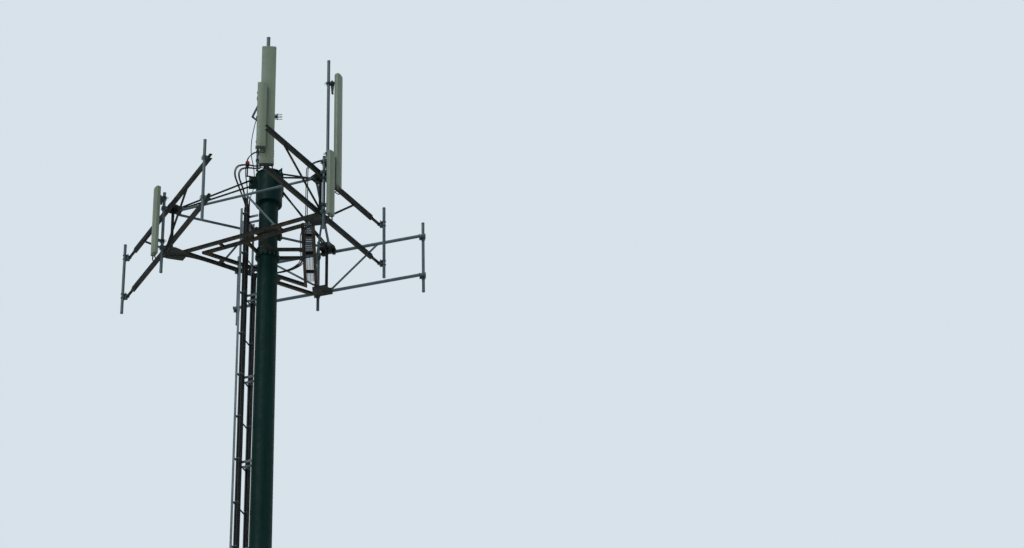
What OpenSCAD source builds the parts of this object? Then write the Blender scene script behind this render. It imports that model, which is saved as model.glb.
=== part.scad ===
// Steel monopole with a three-sided antenna head, a coax ladder and a short top mast.
// Millimetres, Z up. The origin is the centre of the underside of the base flange.

/* [Pole] */
// Height of the flange on top of the tapered shaft
shaft_top = 33440; // [31000:20:33500]
// Outside diameter of the shaft at its foot
foot_d = 860; // [800:10:900]
// Outside diameter at the lower shaft joint
joint_low_d = 620; // [590:10:660]
// Outside diameter at the upper shaft joint
joint_high_d = 434; // [424:2:460]
// Outside diameter at the top of the shaft
top_d = 392; // [384:1:404]
// Wall thickness of the shaft
wall = 8; // [6:1:12]
// Diameter of the base flange
base_d = 1160; // [1120:10:1240]
// Thickness of the base flange
base_t = 45; // [36:1:60]
// Number of anchor bolt holes
anchor_count = 20; // [16:4:24]

/* [Head] */
// Outside diameter of the neck above the shaft
neck_d = 375; // [360:1:380]
// Outside diameter of the head drum
drum_d = 520; // [500:5:540]
// Height of the head drum
drum_h = 680; // [640:5:700]
// Outside diameter of the top mast
mast_d = 73; // [68:1:80]
// Length of the top mast
mast_len = 3410; // [3300:10:3450]

/* [Sector frames] */
// Length of each frame across its face
face_w = 4000; // [3800:10:4100]
// Spacing of the two rails of a frame
rail_gap = 914; // [880:1:940]
// Height of the lower rails above the shaft flange
rail_rise = 93; // [90:1:100]
// Height of the rail channels
chan_h = 100; // [90:1:110]
// Depth of the rail channels
chan_d = 60; // [58:1:66]
// Outside diameter of the antenna pipes
pipe_d = 60; // [56:1:64]

/* [Ring and ladder] */
// Width of the triangular walkway ring
ring_w = 265; // [240:5:280]
// Width of the coax ladder
ladder_w = 600; // [560:5:620]
// Spacing of the ladder rungs
rung_pitch = 914; // [880:2:940]
// Outside diameter of a coax cable
coax_d = 34; // [28:1:36]

/* [Part shown] */
// Sub-part to show

/* [Hidden] */
// each frame: centre in plan and bearing of its outward face
SECTORS = [[1069, -1288, -35.43], [-1959, -47, 204.17], [1216, 1335, 68.88]];
// walkway ring sides: bearing of the outward normal and distance of the outer edge
SIDES = [[240.7, 810], [357, 940], [118.7, 830]];
LADDER_AZ = 156.5;
gap = 0.3;
joint_low_z = 12000;
joint_high_z = 24000;
stub_top = 400;
shaft_flange_t = 30;
shaft_flange_w = 80;
top_flange_t = 40;
top_flange_d = 480;
bolt_pcd = base_d - 130;
neck_h = 1210;
cap_z = neck_h + drum_h;
cap_t = 20;
rail_low = rail_rise;
rail_high = rail_rise + rail_gap;
chan_t = 6;
thin_d = chan_d - 4;
thin_end = 370;
round_d = 65;
brace_d = 42;
plate_t = 12;
plate_high_z = rail_high + chan_h / 2;
plate_low_z = rail_low - chan_h / 2 - plate_t;
ring_z = plate_low_z + plate_t;
ring_h = 60;
ring_bar = 60;
post_y = -110;
post_d = 60;
pipe_y = chan_d / 2 + 60;
clamp_w = 100;
clamp_h = 80;
standoff = 225;
rail_t = 10;
rail_w = 44;
rung_h = 40;
rung_t = 8;
rung_x = 8;
ladder_foot = 1150;
ladder_over = 1060;
ladder_top = shaft_top + ladder_over;
rung_first = 1500;
bundle_gap = 4;
bracket_y = 90;
mast_x = -89;
mast_z = shaft_top + cap_z + cap_t;

base_flange();
shaft_lower();
shaft_middle();
shaft_upper();
neck();
head_drum();
neck_collar();
platform_arms();
access_door();
cable_entry();
ladder_rails();
ladder_rungs();
coax_left();
coax_right();
walkway_ring();
walkway_grating();
ring_ties();
head_struts();
sector_1_frame();
sector_1_joint();
sector_1_pipes();
sector_1_clamps();
sector_1_short_panel();
sector_1_tall_panel();
sector_2_frame();
sector_2_joint();
sector_2_pipes();
sector_2_clamps();
sector_2_panel();
sector_3_frame();
sector_3_joint();
sector_3_pipes();
sector_3_clamps();
panel_brackets();
mast();
mast_clamps();
mast_side_pipe();
mast_tall_panel();
mast_short_panel();
beacon_arm();
beacon_lamp();
head_box();
jumpers_mast();
jumpers_sector_1();
jumpers_sector_2();

// shaft radius at a height, stepped at the two flanged joints
function shaft_r(z) =
    z < joint_low_z ? (foot_d + (joint_low_d - foot_d) * z / joint_low_z) / 2
    : z < joint_high_z
    ? (joint_low_d + (joint_high_d - joint_low_d)
        * (z - joint_low_z) / (joint_high_z - joint_low_z)) / 2
    : (joint_high_d + (top_d - joint_high_d)
        * (z - joint_high_z) / (shaft_top - joint_high_z)) / 2;

// plan point of a frame from its own coordinates, x along the rails and y outward
function sector_pt(n, x, y) =
    let (s = SECTORS[n - 1])
    [s[0] + x * sin(s[2]) + y * cos(s[2]), s[1] - x * cos(s[2]) + y * sin(s[2])];

// corner of the walkway triangle between two sides, inset from the outer edges
function ring_corner(i, j, inset) =
    let (a = SIDES[i][0], b = SIDES[j][0], p = SIDES[i][1] - inset, q = SIDES[j][1] - inset,
        det = cos(a) * sin(b) - sin(a) * cos(b))
    [(p * sin(b) - q * sin(a)) / det, (q * cos(a) - p * cos(b)) / det];

function ring_triangle(inset) =
    [ring_corner(0, 1, inset), ring_corner(1, 2, inset), ring_corner(2, 0, inset)];

module ring_pipe(h, d_low, d_high, t) {
    difference() {
        cylinder(h = h, d1 = d_low, d2 = d_high, $fn = 64);
        translate([0, 0, -1])
            cylinder(h = h + 2, d1 = d_low - 2 * t, d2 = d_high - 2 * t, $fn = 64);
    }
}

module flat_ring(h, d_out, d_in) {
    difference() {
        cylinder(h = h, d = d_out, $fn = 64);
        translate([0, 0, -1]) cylinder(h = h + 2, d = d_in, $fn = 64);
    }
}

// straight round bar between two points
module rod(p, q, d) {
    v = q - p;
    len = norm(v);
    translate(p)
        rotate([0, acos(v[2] / len), atan2(v[1], v[0])])
            cylinder(h = len, d = d, $fn = 24);
}

module at_sector(n) {
    s = SECTORS[n - 1];
    translate([s[0], s[1], shaft_top]) rotate([0, 0, s[2] - 90]) children();
}

// a shaft section with bolting flanges at the ends that have them
module shaft_section(z0, z1, low_flange, high_flange) {
    d0 = 2 * shaft_r(z0);
    d1 = z1 >= shaft_top ? top_d : 2 * shaft_r(z1);
    translate([0, 0, z0]) {
        ring_pipe(z1 - z0, d0, d1, wall);
        if (low_flange) flat_ring(shaft_flange_t, d0 + 2 * shaft_flange_w, d0 - wall);
        if (high_flange)
            translate([0, 0, z1 - z0 - shaft_flange_t])
                flat_ring(shaft_flange_t, d1 + 2 * shaft_flange_w, d1 - wall);
    }
}

module base_flange() {
    stub_d = 2 * shaft_r(stub_top);
    gusset_w = (base_d - stub_d) / 2 - 20;
    color([0.10, 0.16, 0.14]) {
        difference() {
            cylinder(h = base_t, d = base_d, $fn = 96);
            for (i = [0 : anchor_count - 1])
                rotate([0, 0, 360 * (i + 0.5) / anchor_count])
                    translate([bolt_pcd / 2, 0, -1]) cylinder(h = base_t + 2, d = 39, $fn = 24);
        }
        translate([0, 0, base_t - 1])
            flat_ring(stub_top - base_t + 1, stub_d, stub_d - 2 * wall);
        for (i = [0 : anchor_count - 1])
            rotate([0, 0, 360 * i / anchor_count])
                translate([stub_d / 2 - 4, 7, base_t - 1])
                    rotate([90, 0, 0])
                        linear_extrude(14)
                            polygon([[0, 0], [gusset_w, 0], [gusset_w, 40], [30, 260], [0, 260]]);
    }
}

module shaft_lower() {
    color([0.10, 0.16, 0.14]) shaft_section(stub_top, joint_low_z, false, true);
}

module shaft_middle() {
    color([0.10, 0.16, 0.14]) shaft_section(joint_low_z, joint_high_z, true, true);
}

module shaft_upper() {
    color([0.10, 0.16, 0.14]) {
        shaft_section(joint_high_z, shaft_top, true, false);
        translate([0, 0, shaft_top - top_flange_t])
            flat_ring(top_flange_t, top_flange_d, top_d - 2 * wall + 1);
    }
}

module neck() {
    color([0.10, 0.16, 0.14])
        translate([0, 0, shaft_top]) flat_ring(neck_h, neck_d, neck_d - 2 * wall);
}

// bearing and distance of a frame's joint from the pole
function joint_pt(n) = sector_pt(n, 0, -200);
function joint_az(n) = atan2(joint_pt(n)[1], joint_pt(n)[0]);

module head_drum() {
    color([0.10, 0.16, 0.14]) translate([0, 0, shaft_top + neck_h]) {
        flat_ring(drum_h, drum_d, drum_d - 2 * wall);
        flat_ring(cap_t, drum_d - wall, neck_d - 2 * wall);
        translate([0, 0, drum_h]) cylinder(h = cap_t, d = drum_d + 30, $fn = 64);
        for (n = [1 : 3])
            rotate([0, 0, joint_az(n)])
                translate([drum_d / 2 - 5, -6, drum_h - 300]) cube([145, 12, 300]);
    }
}

// two half shells bolted together round the neck through their ears
module neck_collar() {
    collar_z = 460;
    color([0.06, 0.09, 0.08]) translate([0, 0, shaft_top + collar_z]) rotate([0, 0, 24])
        difference() {
            union() {
                cylinder(h = 150, d = neck_d + 50, $fn = 64);
                for (a = [0, 180])
                    rotate([0, 0, a]) translate([neck_d / 2 + 10, -40, 10]) cube([85, 80, 130]);
            }
            translate([0, 0, -1]) cylinder(h = 152, d = neck_d + 2 * gap, $fn = 64);
            translate([-neck_d, -3, -1]) cube([2 * neck_d, 6, 152]);
        }
}

// clamp ring on the neck with beams out to the walkway ring
module platform_arms() {
    arm_w = 50;
    near = 0.4 * neck_d;
    arms = [[0, -near], [0, near], [1, -near], [1, near], [2, -near / 2], [2, -1.15 * near]];
    color([0.06, 0.09, 0.08]) translate([0, 0, shaft_top]) difference() {
        union() {
            cylinder(h = 160, d = neck_d + 60, $fn = 64);
            for (a = arms) {
                side = SIDES[a[0]];
                rotate([0, 0, side[0]])
                    translate([60, a[1] - arm_w / 2, ring_z])
                        cube([side[1] - ring_w - 60, arm_w, ring_h]);
            }
        }
        translate([0, 0, -1]) cylinder(h = 162, d = neck_d + 2 * gap, $fn = 64);
    }
}

module access_door() {
    door_z = 700;
    door_h = 900;
    door_w = 320;
    color([0.12, 0.19, 0.16]) difference() {
        rotate([0, 0, -70]) union() {
            translate([0, -door_w / 2, door_z])
                cube([shaft_r(door_z) + 22, door_w, door_h]);
            translate([0, -door_w / 2 - 30, door_z - 30])
                cube([shaft_r(door_z) + 8, door_w + 60, door_h + 60]);
        }
        shaft_core(600, 1700);
    }
}

// the space taken by the shaft, for parts that seat on it
module shaft_core(z0, z1) {
    translate([0, 0, z0])
        cylinder(h = z1 - z0, r1 = shaft_r(z0) + gap, r2 = shaft_r(z1) + gap, $fn = 128);
}

module cable_entry() {
    color([0.10, 0.16, 0.14]) difference() {
        rotate([0, 0, LADDER_AZ])
            translate([0, -ladder_w / 2 - 60, 640])
                cube([ladder_r(640) + 70, ladder_w + 120, ladder_foot - 640]);
        shaft_core(600, 1700);
    }
}

// distance of the ladder plane from the pole axis
function ladder_r(z) = shaft_r(min(z, shaft_top - 1)) + standoff;

// one straight run of the ladder; x outward, y across, z along the run
module ladder_run(z0, z1) {
    r0 = ladder_r(z0);
    r1 = ladder_r(z1);
    rotate([0, 0, LADDER_AZ])
        translate([r0, 0, z0]) rotate([0, atan2(r1 - r0, z1 - z0), 0]) children();
}

function run_len(r) = norm([r[1] - r[0], ladder_r(r[1]) - ladder_r(r[0])]);

RUNS = [[ladder_foot - 10, joint_low_z], [joint_low_z, joint_high_z], [joint_high_z, ladder_top]];
rungs = [for (z = [rung_first : rung_pitch : ladder_top - 60]) z];

module ladder_rails() {
    color([0.42, 0.46, 0.48]) difference() {
        union() {
            for (r = RUNS)
                ladder_run(r[0], r[1])
                    for (s = [-1, 1])
                        translate([0, s * (ladder_w - rail_t) / 2 - rail_t / 2, 2])
                            cube([rail_w, rail_t, run_len(r) - 4]);
            for (z = [joint_low_z, joint_high_z], s = [-1, 1])
                rotate([0, 0, LADDER_AZ])
                    translate([ladder_r(z) + 2, s * (ladder_w / 2 - 5) - 10, z - 90])
                        cube([rail_w - 4, 20, 180]);
        }
        translate([-2000, -2000, 0]) cube([4000, 4000, ladder_foot]);
    }
}

// flat rungs between the rails; every second one is carried off the pole on two plates
module ladder_rungs() {
    rung_w = ladder_w - 2 * rail_t;
    color([0.42, 0.46, 0.48]) rotate([0, 0, LADDER_AZ])
        for (i = [0 : len(rungs) - 1]) {
            z = rungs[i];
            r = z < shaft_top ? shaft_r(z + 25) : neck_d / 2;
            translate([ladder_r(z) + rung_x, -rung_w / 2, z - rung_h / 2])
                cube([rung_t, rung_w, rung_h]);
            if (i % 2 == 0)
                for (s = [-1, 1])
                    translate([r - 2, s * bracket_y - 5, z - 25])
                        difference() {
                            cube([ladder_r(z) + rung_x + 4 - r, 10, 50]);
                            translate([2 - r, 5 - s * bracket_y, -10])
                                cylinder(h = 70, r1 = pad_r(z - 35), r2 = pad_r(z + 35), $fn = 128);
                        }
        }
}

// radius of the pole plus the fitting gap
function pad_r(z) = (z < shaft_top ? shaft_r(z) : neck_d / 2) + gap;

// two rows of cables on the pole side of the ladder, held by a block at every rung
module coax_bundle(y0, columns, top) {
    pitch = coax_d + bundle_gap;
    block_w = columns * pitch + 12;
    color([0.03, 0.03, 0.03]) difference() {
        union() {
            for (r = RUNS)
                ladder_run(r[0], r[1])
                    for (i = [0 : columns - 1], j = [0 : 1])
                        translate([-10 - coax_d / 2 - j * pitch,
                            y0 + (i - (columns - 1) / 2) * pitch, 2])
                            cylinder(h = run_len(r) - 4, d = coax_d, $fn = 16);
            for (z = concat(rungs, [joint_low_z, joint_high_z]))
                rotate([0, 0, LADDER_AZ])
                    translate([ladder_r(z) - 2 * pitch - 12, y0 - block_w / 2, z - 18])
                        cube([2 * pitch + 12 + rung_x, block_w, 36]);
        }
        translate([-2000, -2000, 0]) cube([4000, 4000, ladder_foot]);
        translate([-2000, -2000, top]) cube([4000, 4000, 4000]);
    }
}

LEFT_Y = 200;
RIGHT_Y = -225;
RIGHT_TOP = -250;

module coax_left() {
    coax_bundle(LEFT_Y, 4, ladder_top + 1000);
}

module coax_right() {
    coax_bundle(RIGHT_Y, 3, shaft_top + RIGHT_TOP);
}

// closed triangle of two rails with cross pieces, its corners cut off at the frames
module walkway_ring() {
    color([0.07, 0.08, 0.07]) translate([0, 0, shaft_top + ring_z])
        linear_extrude(ring_h) difference() {
            union() {
                difference() {
                    polygon(ring_triangle(0));
                    polygon(ring_triangle(ring_bar));
                }
                difference() {
                    polygon(ring_triangle(ring_w - ring_bar));
                    polygon(ring_triangle(ring_w));
                }
                for (s = SIDES, t = [-640, 0, 640])
                    rotate([0, 0, s[0]])
                        translate([s[1] - ring_w + 5, t - 20]) square([ring_w - 10, 40]);
            }
            for (s = SECTORS)
                translate([s[0], s[1]]) rotate([0, 0, s[2] - 90])
                    translate([-1500, -50]) square([3000, 1500]);
        }
}

// open-bar grating on the near half of the side between the first and third frames
module walkway_grating() {
    mesh_len = 1050;
    mesh_w = ring_w - 20;
    bars = 15;
    color([0.20, 0.24, 0.26]) translate([0, 0, shaft_top + ring_z + ring_h])
        rotate([0, 0, SIDES[1][0]])
            translate([SIDES[1][1] - ring_w + 10, -1000, 0]) {
                for (i = [0 : bars - 1])
                    translate([0, i * (mesh_len - 6) / (bars - 1), 0]) cube([mesh_w, 6, 25]);
                for (i = [0 : 4])
                    translate([i * (mesh_w - 6) / 4, 0, 4]) cube([6, mesh_len, 17]);
            }
}

// upper ties from frame to frame, each with a diagonal down to the walkway ring
module ring_ties() {
    links = [[1, 1, 2, -1, 0], [3, 1, 1, -1, 1], [2, 1, 3, -1, 2]];
    tie_d = 50;
    tab_w = 70;
    tie_z = plate_high_z - plate_t - 20;
    color([0.36, 0.40, 0.42]) translate([0, 0, shaft_top])
        for (k = links) {
            p = sector_pt(k[0], k[1] * 90, -250);
            q = sector_pt(k[2], k[3] * 90, -250);
            v = (q - p) / norm(q - p);
            a = atan2(v[1], v[0]);
            rod([p[0], p[1], tie_z], [q[0], q[1], tie_z], tie_d);
            for (e = [p, q])
                translate([e[0], e[1], plate_high_z - plate_t]) rotate([0, 0, a])
                    translate([-60, -tab_w / 2, 0]) cube([120, tab_w, plate_t]);
            m = (p + q) / 2;
            side = SIDES[k[4]];
            foot_s = 560;
            foot = [(side[1] - 30) * cos(side[0]) - foot_s * sin(side[0]),
                (side[1] - 30) * sin(side[0]) + foot_s * cos(side[0])];
            rod([m[0], m[1], tie_z], [foot[0], foot[1], ring_z + ring_h + 24], 42);
            translate([foot[0], foot[1], ring_z + ring_h]) rotate([0, 0, side[0]])
                translate([-28, -50, 0]) cube([56, 100, 14]);
        }
}

// pairs of struts from the drum down to the frames
module head_struts() {
    color([0.09, 0.10, 0.10]) translate([0, 0, shaft_top])
        for (n = [1 : 3]) {
            reach = norm(joint_pt(n));
            foot_z = plate_high_z + plate_t;
            rotate([0, 0, joint_az(n)])
                for (s = [-1, 1]) {
                    top_z = cap_z - 150 + s * 55;
                    rod([drum_d / 2 + 70, s * 26, top_z], [reach - 40, s * 26, foot_z + 20], 36);
                    translate([drum_d / 2 + 40, s > 0 ? 6 : -14, top_z - 40]) cube([90, 8, 80]);
                    translate([reach - 90, s * 26 - 24, foot_z]) cube([90, 48, 14]);
                }
        }
}

// rail channel, web outward
module channel(x0, x1) {
    translate([x0, -chan_d / 2, -chan_h / 2]) difference() {
        cube([x1 - x0, chan_d, chan_h]);
        translate([-1, -1, chan_t])
            cube([x1 - x0 + 2, chan_d - chan_t + 1, chan_h - 2 * chan_t]);
    }
}

// two rails with a V of braces down to the middle of the lower rail
module channel_frame(chan_x0, chan_x1, brace_x0, brace_x1) {
    half = face_w / 2;
    for (z = [rail_low, rail_high])
        translate([0, 0, z]) {
            channel(chan_x0, chan_x1);
            if (chan_x0 > -half)
                rod([-half, 0, 0], [chan_x0 + 240, 0, 0], thin_d);
            if (chan_x1 < half)
                rod([chan_x1 - 240, 0, 0], [half, 0, 0], thin_d);
        }
    for (x = [brace_x0, brace_x1])
        rod([x, 0, rail_high - 20], [x / 40, 0, rail_low + 10], brace_d);
}

module sector_1_frame() {
    color([0.09, 0.09, 0.08])
        at_sector(1) channel_frame(thin_end - face_w / 2, face_w / 2, -0.26 * face_w, 0.36 * face_w);
}

module sector_2_frame() {
    color([0.09, 0.09, 0.08])
        at_sector(2) channel_frame(-face_w / 2 - 60, face_w / 2 - thin_end, -0.24 * face_w, 0.3 * face_w);
}

module sector_3_frame() {
    color([0.40, 0.44, 0.46]) at_sector(3) {
        for (z = [rail_low, rail_high])
            rod([-face_w / 2, 0, z], [face_w / 2, 0, z], round_d);
        for (x = [-0.3 * face_w, 0.26 * face_w])
            rod([x, 0, rail_high], [x / 40, 0, rail_low], brace_d);
    }
}

// gusset plates over and under the rails with a post between them; x0 and x1 are the
// half widths of the lower plate, which also carries a corner of the walkway ring
module joint_plates(x0, x1, reach) {
    translate([0, 0, plate_high_z]) linear_extrude(plate_t)
        polygon([[-150, chan_d / 2], [150, chan_d / 2], [165, -120], [105, -300],
            [-105, -300], [-165, -120]]);
    translate([0, 0, plate_low_z]) linear_extrude(plate_t)
        polygon([[x0, chan_d / 2], [x1, chan_d / 2], [x1 + 25, -120], [x1 - 40, -reach],
            [x0 + 40, -reach], [x0 - 25, -120]]);
    rod([0, post_y, plate_low_z + 2], [0, post_y, plate_high_z + 2], post_d);
    for (s = [0, 1])
        translate([-4, post_y - post_d / 2 + 5, s > 0 ? plate_high_z + 1 : plate_low_z + plate_t - 1])
            rotate([90, 0, 90]) linear_extrude(8)
                polygon(s > 0 ? [[0, 0], [0, -110], [-90, 0]] : [[0, 0], [0, 110], [-90, 0]]);
}

module sector_1_joint() {
    color([0.08, 0.09, 0.08]) at_sector(1) joint_plates(-90, 260, 290);
}

module sector_2_joint() {
    color([0.08, 0.09, 0.08]) at_sector(2) joint_plates(-190, 190, 420);
}

// the round rails of the third frame pass through blocks that fill up to the plates
module sector_3_joint() {
    color([0.08, 0.09, 0.08]) at_sector(3) {
        joint_plates(-260, 90, 330);
        for (k = [[-130, rail_low], [50, rail_low], [-110, rail_high], [110, rail_high]])
            difference() {
                translate([k[0] - 30, -chan_d / 2 - 14, k[1] - chan_h / 2])
                    cube([60, chan_d + 14, chan_h]);
                rod([k[0] - 36, 0, k[1]], [k[0] + 36, 0, k[1]], round_d + 2 * gap);
            }
    }
}

// one upright antenna pipe, z0 and z1 above the shaft flange
module pipe_at(x, z0, z1) {
    translate([x, pipe_y, z0]) cylinder(h = z1 - z0, d = pipe_d, $fn = 24);
}

PIPES_1 = [[54 - face_w / 2, -250, 1385], [176, -286, 1374], [60, 887, 3740]];
PIPES_2 = [[50 - face_w / 2, -420, 1420], [face_w / 2 - 50, -310, 1304], [-15, -480, 1370]];
PIPES_3 = [[50 - face_w / 2, -250, 1365], [face_w / 2 - 50, -255, 1364], [-248, -250, 1368]];

module sector_1_pipes() {
    color([0.40, 0.44, 0.46]) at_sector(1) for (p = PIPES_1) pipe_at(p[0], p[1], p[2]);
}

module sector_2_pipes() {
    color([0.40, 0.44, 0.46]) at_sector(2) for (p = PIPES_2) pipe_at(p[0], p[1], p[2]);
}

module sector_3_pipes() {
    color([0.40, 0.44, 0.46]) at_sector(3) for (p = PIPES_3) pipe_at(p[0], p[1], p[2]);
}

// clamp block on the flat web of a channel
module face_clamp(x, z) {
    difference() {
        translate([x - clamp_w / 2, chan_d / 2, z - clamp_h / 2])
            cube([clamp_w, pipe_y + pipe_d / 2 + 12 - chan_d / 2, clamp_h]);
        translate([x, pipe_y, z - clamp_h])
            cylinder(h = 2 * clamp_h, d = pipe_d + 2 * gap, $fn = 24);
    }
}

// clamp block that also goes round a round rail
module cross_clamp(x, z, rail_d) {
    difference() {
        translate([x - clamp_w / 2, -rail_d / 2 - 12, z - clamp_h / 2])
            cube([clamp_w, pipe_y + pipe_d / 2 + 24 + rail_d / 2, clamp_h]);
        translate([x, pipe_y, z - clamp_h])
            cylinder(h = 2 * clamp_h, d = pipe_d + 2 * gap, $fn = 24);
        rod([x - clamp_w, 0, z], [x + clamp_w, 0, z], rail_d + 2 * gap);
    }
}

module sector_1_clamps() {
    color([0.33, 0.36, 0.38]) at_sector(1) {
        for (z = [rail_low, rail_high]) {
            cross_clamp(PIPES_1[0][0], z, thin_d);
            face_clamp(PIPES_1[1][0], z);
        }
        face_clamp(PIPES_1[2][0], rail_high);
        difference() {
            translate([PIPES_1[2][0] - 42, pipe_y - 40, rail_high + 200])
                cube([PIPES_1[1][0] - PIPES_1[2][0] + 84, 80, 60]);
            for (i = [1, 2])
                translate([PIPES_1[i][0], pipe_y, rail_high + 190])
                    cylinder(h = 80, d = pipe_d + 2 * gap, $fn = 24);
        }
    }
}

module sector_2_clamps() {
    color([0.33, 0.36, 0.38]) at_sector(2)
        for (z = [rail_low, rail_high]) {
            face_clamp(PIPES_2[0][0], z);
            cross_clamp(PIPES_2[1][0], z, thin_d);
            face_clamp(PIPES_2[2][0], z);
        }
}

module sector_3_clamps() {
    color([0.33, 0.36, 0.38]) at_sector(3)
        for (p = PIPES_3, z = [rail_low, rail_high]) cross_clamp(p[0], z, round_d);
}

// panel housing with round corners and cable sockets underneath
module panel(w, d, len, sockets, pitch) {
    r = 24;
    linear_extrude(len) {
        square([w - 2 * r, d], center = true);
        square([w, d - 2 * r], center = true);
        for (x = [-1, 1], y = [-1, 1])
            translate([x * (w / 2 - r), y * (d / 2 - r)]) circle(r = r, $fn = 24);
    }
    for (i = [0 : sockets - 1])
        translate([(i - (sockets - 1) / 2) * pitch, 0, -34])
            cylinder(h = 36, d = 24, $fn = 16);
}

PANEL_W = 185;
SOCKET_PITCH = 110;
PANEL_D = 100;
SHORT_Y = 250;
TALL_X = -60;
TALL_Y = 250;
TALL_Z = 740;
SHORT_1_Z = -40;
SHORT_2_Z = -110;

module sector_1_short_panel() {
    color([0.33, 0.36, 0.31]) at_sector(1)
        translate([PIPES_1[1][0], SHORT_Y, SHORT_1_Z]) panel(PANEL_W, PANEL_D, 1460, 2, SOCKET_PITCH);
}

module sector_1_tall_panel() {
    color([0.33, 0.36, 0.31]) at_sector(1)
        translate([TALL_X, TALL_Y, TALL_Z]) panel(PANEL_W, PANEL_D, 2690, 2, SOCKET_PITCH);
}

module sector_2_panel() {
    color([0.33, 0.36, 0.31]) at_sector(2)
        translate([PIPES_2[2][0], SHORT_Y, SHORT_2_Z]) panel(PANEL_W, PANEL_D, 1550, 2, SOCKET_PITCH);
}

// clamp block on an upright pipe with an arm to the back of a panel; y outward
module panel_bracket(d, back, shift = 0) {
    block = d / 2 + 12;
    difference() {
        union() {
            translate([-block, -block, -28]) cube([2 * block, 2 * block, 56]);
            translate([-20, block - 1, -20]) cube([40, back - block + 1, 40]);
            translate([min(0, shift) - 45, back - 8, -28]) cube([90 + abs(shift), 8, 56]);
        }
        translate([0, 0, -40]) cylinder(h = 80, d = d + 2 * gap, $fn = 24);
    }
}

module panel_brackets() {
    short_back = SHORT_Y - PANEL_D / 2 - pipe_y;
    tall_back = TALL_Y - PANEL_D / 2 - pipe_y;
    color([0.40, 0.44, 0.46]) {
        at_sector(1) {
            for (z = [240, 860])
                translate([PIPES_1[1][0], pipe_y, z]) panel_bracket(pipe_d, short_back);
            for (z = [1500, 3180])
                translate([PIPES_1[2][0], pipe_y, z])
                    panel_bracket(pipe_d, tall_back, TALL_X - PIPES_1[2][0] + 60);
        }
        at_sector(2)
            for (z = [240, 1240])
                translate([PIPES_2[2][0], pipe_y, z]) panel_bracket(pipe_d, short_back);
    }
}

MAST_PANEL_X = -69;
MAST_PANEL_Y = -150;
MAST_PANEL_Z = 2070;
MAST_SHORT_X = -185;
MAST_SHORT_Z = 2400;
MAST_SHORT_BACK = 195;
SIDE_X = -245;
SIDE_Y = -45;
SIDE_D = 50;

module mast() {
    color([0.33, 0.36, 0.38]) translate([mast_x, 0, mast_z]) {
        cylinder(h = 18, d = 230, $fn = 48);
        cylinder(h = mast_len, d = mast_d, $fn = 48);
        for (a = [45 : 90 : 315])
            rotate([0, 0, a])
                translate([mast_d / 2 - 3, 5, 17]) rotate([90, 0, 0]) linear_extrude(10)
                    polygon([[0, 0], [60, 0], [0, 110]]);
    }
}

module mast_side_pipe() {
    color([0.45, 0.48, 0.50])
        translate([SIDE_X, SIDE_Y, shaft_top + 1990]) cylinder(h = 2050, d = SIDE_D, $fn = 24);
}

// blocks that carry the side pipe and the tall panel on the mast
module mast_clamps() {
    color([0.33, 0.36, 0.38]) {
        for (z = [2440, 3350])
            translate([0, 0, shaft_top + z]) difference() {
                union() {
                    translate([mast_x - 75, -72, -35]) cube([150, 144, 70]);
                    translate([SIDE_X + 40, SIDE_Y - 20, -25])
                        cube([mast_x - 75 - SIDE_X - 39, 60, 50]);
                    translate([SIDE_X - 50, SIDE_Y - 40, -35]) cube([98, 80, 70]);
                }
                translate([mast_x, 0, -50]) cylinder(h = 100, d = mast_d + 2 * gap, $fn = 48);
                translate([SIDE_X, SIDE_Y, -50]) cylinder(h = 100, d = SIDE_D + 2 * gap, $fn = 24);
            }
        for (z = [2720, 4660])
            translate([mast_x, 0, shaft_top + z]) rotate([0, 0, 180])
                panel_bracket(mast_d, -MAST_PANEL_Y - 60);
        for (z = [2560, 3760])
            translate([SIDE_X, SIDE_Y, shaft_top + z]) rotate([0, 0, 180])
                panel_bracket(SIDE_D, MAST_SHORT_BACK, SIDE_X - MAST_SHORT_X);
    }
}

module mast_tall_panel() {
    color([0.33, 0.36, 0.31])
        translate([MAST_PANEL_X, MAST_PANEL_Y, shaft_top + MAST_PANEL_Z])
            panel(290, 120, 2888, 4, 80);
}

module mast_short_panel() {
    color([0.33, 0.36, 0.31])
        translate([MAST_SHORT_X, SIDE_Y - MAST_SHORT_BACK - 45, shaft_top + MAST_SHORT_Z])
            panel(190, 90, 1570, 2, 140);
}

BEACON = [-440, 70, 275];

module beacon_arm() {
    color([0.06, 0.07, 0.07]) translate([0, 0, mast_z]) {
        translate([-200, 110, 0]) cube([50, 50, 10]);
        translate([-190, 120, 5]) cube([30, 30, 30]);
        rod([-175, 135, 30], [BEACON[0], BEACON[1], 30], 30);
        rod([BEACON[0], BEACON[1], 16], [BEACON[0], BEACON[1], BEACON[2] + 5], 30);
        translate([BEACON[0], BEACON[1], BEACON[2]]) cylinder(h = 22, d = 80, $fn = 32);
    }
}

module beacon_lamp() {
    color([0.70, 0.06, 0.05]) translate([BEACON[0], BEACON[1], mast_z + BEACON[2] + 22]) {
        cylinder(h = 12, d = 70, $fn = 32);
        translate([0, 0, 48]) sphere(d = 90, $fn = 32);
    }
}

module head_box() {
    color([0.30, 0.35, 0.40]) rotate([0, 0, LADDER_AZ])
        translate([ladder_r(ladder_top) + rail_w - 2, -ladder_w / 2 - 20, ladder_top - 330]) {
            cube([150, 230, 300]);
        }
}

// smooth curve through points, n steps a span
function spline(p, n) = [
    for (i = [0 : len(p) - 2])
        let (a = p[max(i - 1, 0)], b = p[i], c = p[i + 1], d = p[min(i + 2, len(p) - 1)])
        for (k = [0 : n - 1 + (i == len(p) - 2 ? 1 : 0)])
            let (t = k / n)
            0.5 * (2 * b + (c - a) * t + (2 * a - 5 * b + 4 * c - d) * t * t
                + (3 * b - a - 3 * c + d) * t * t * t)
];

function unit(v) = v / norm(v);

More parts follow.
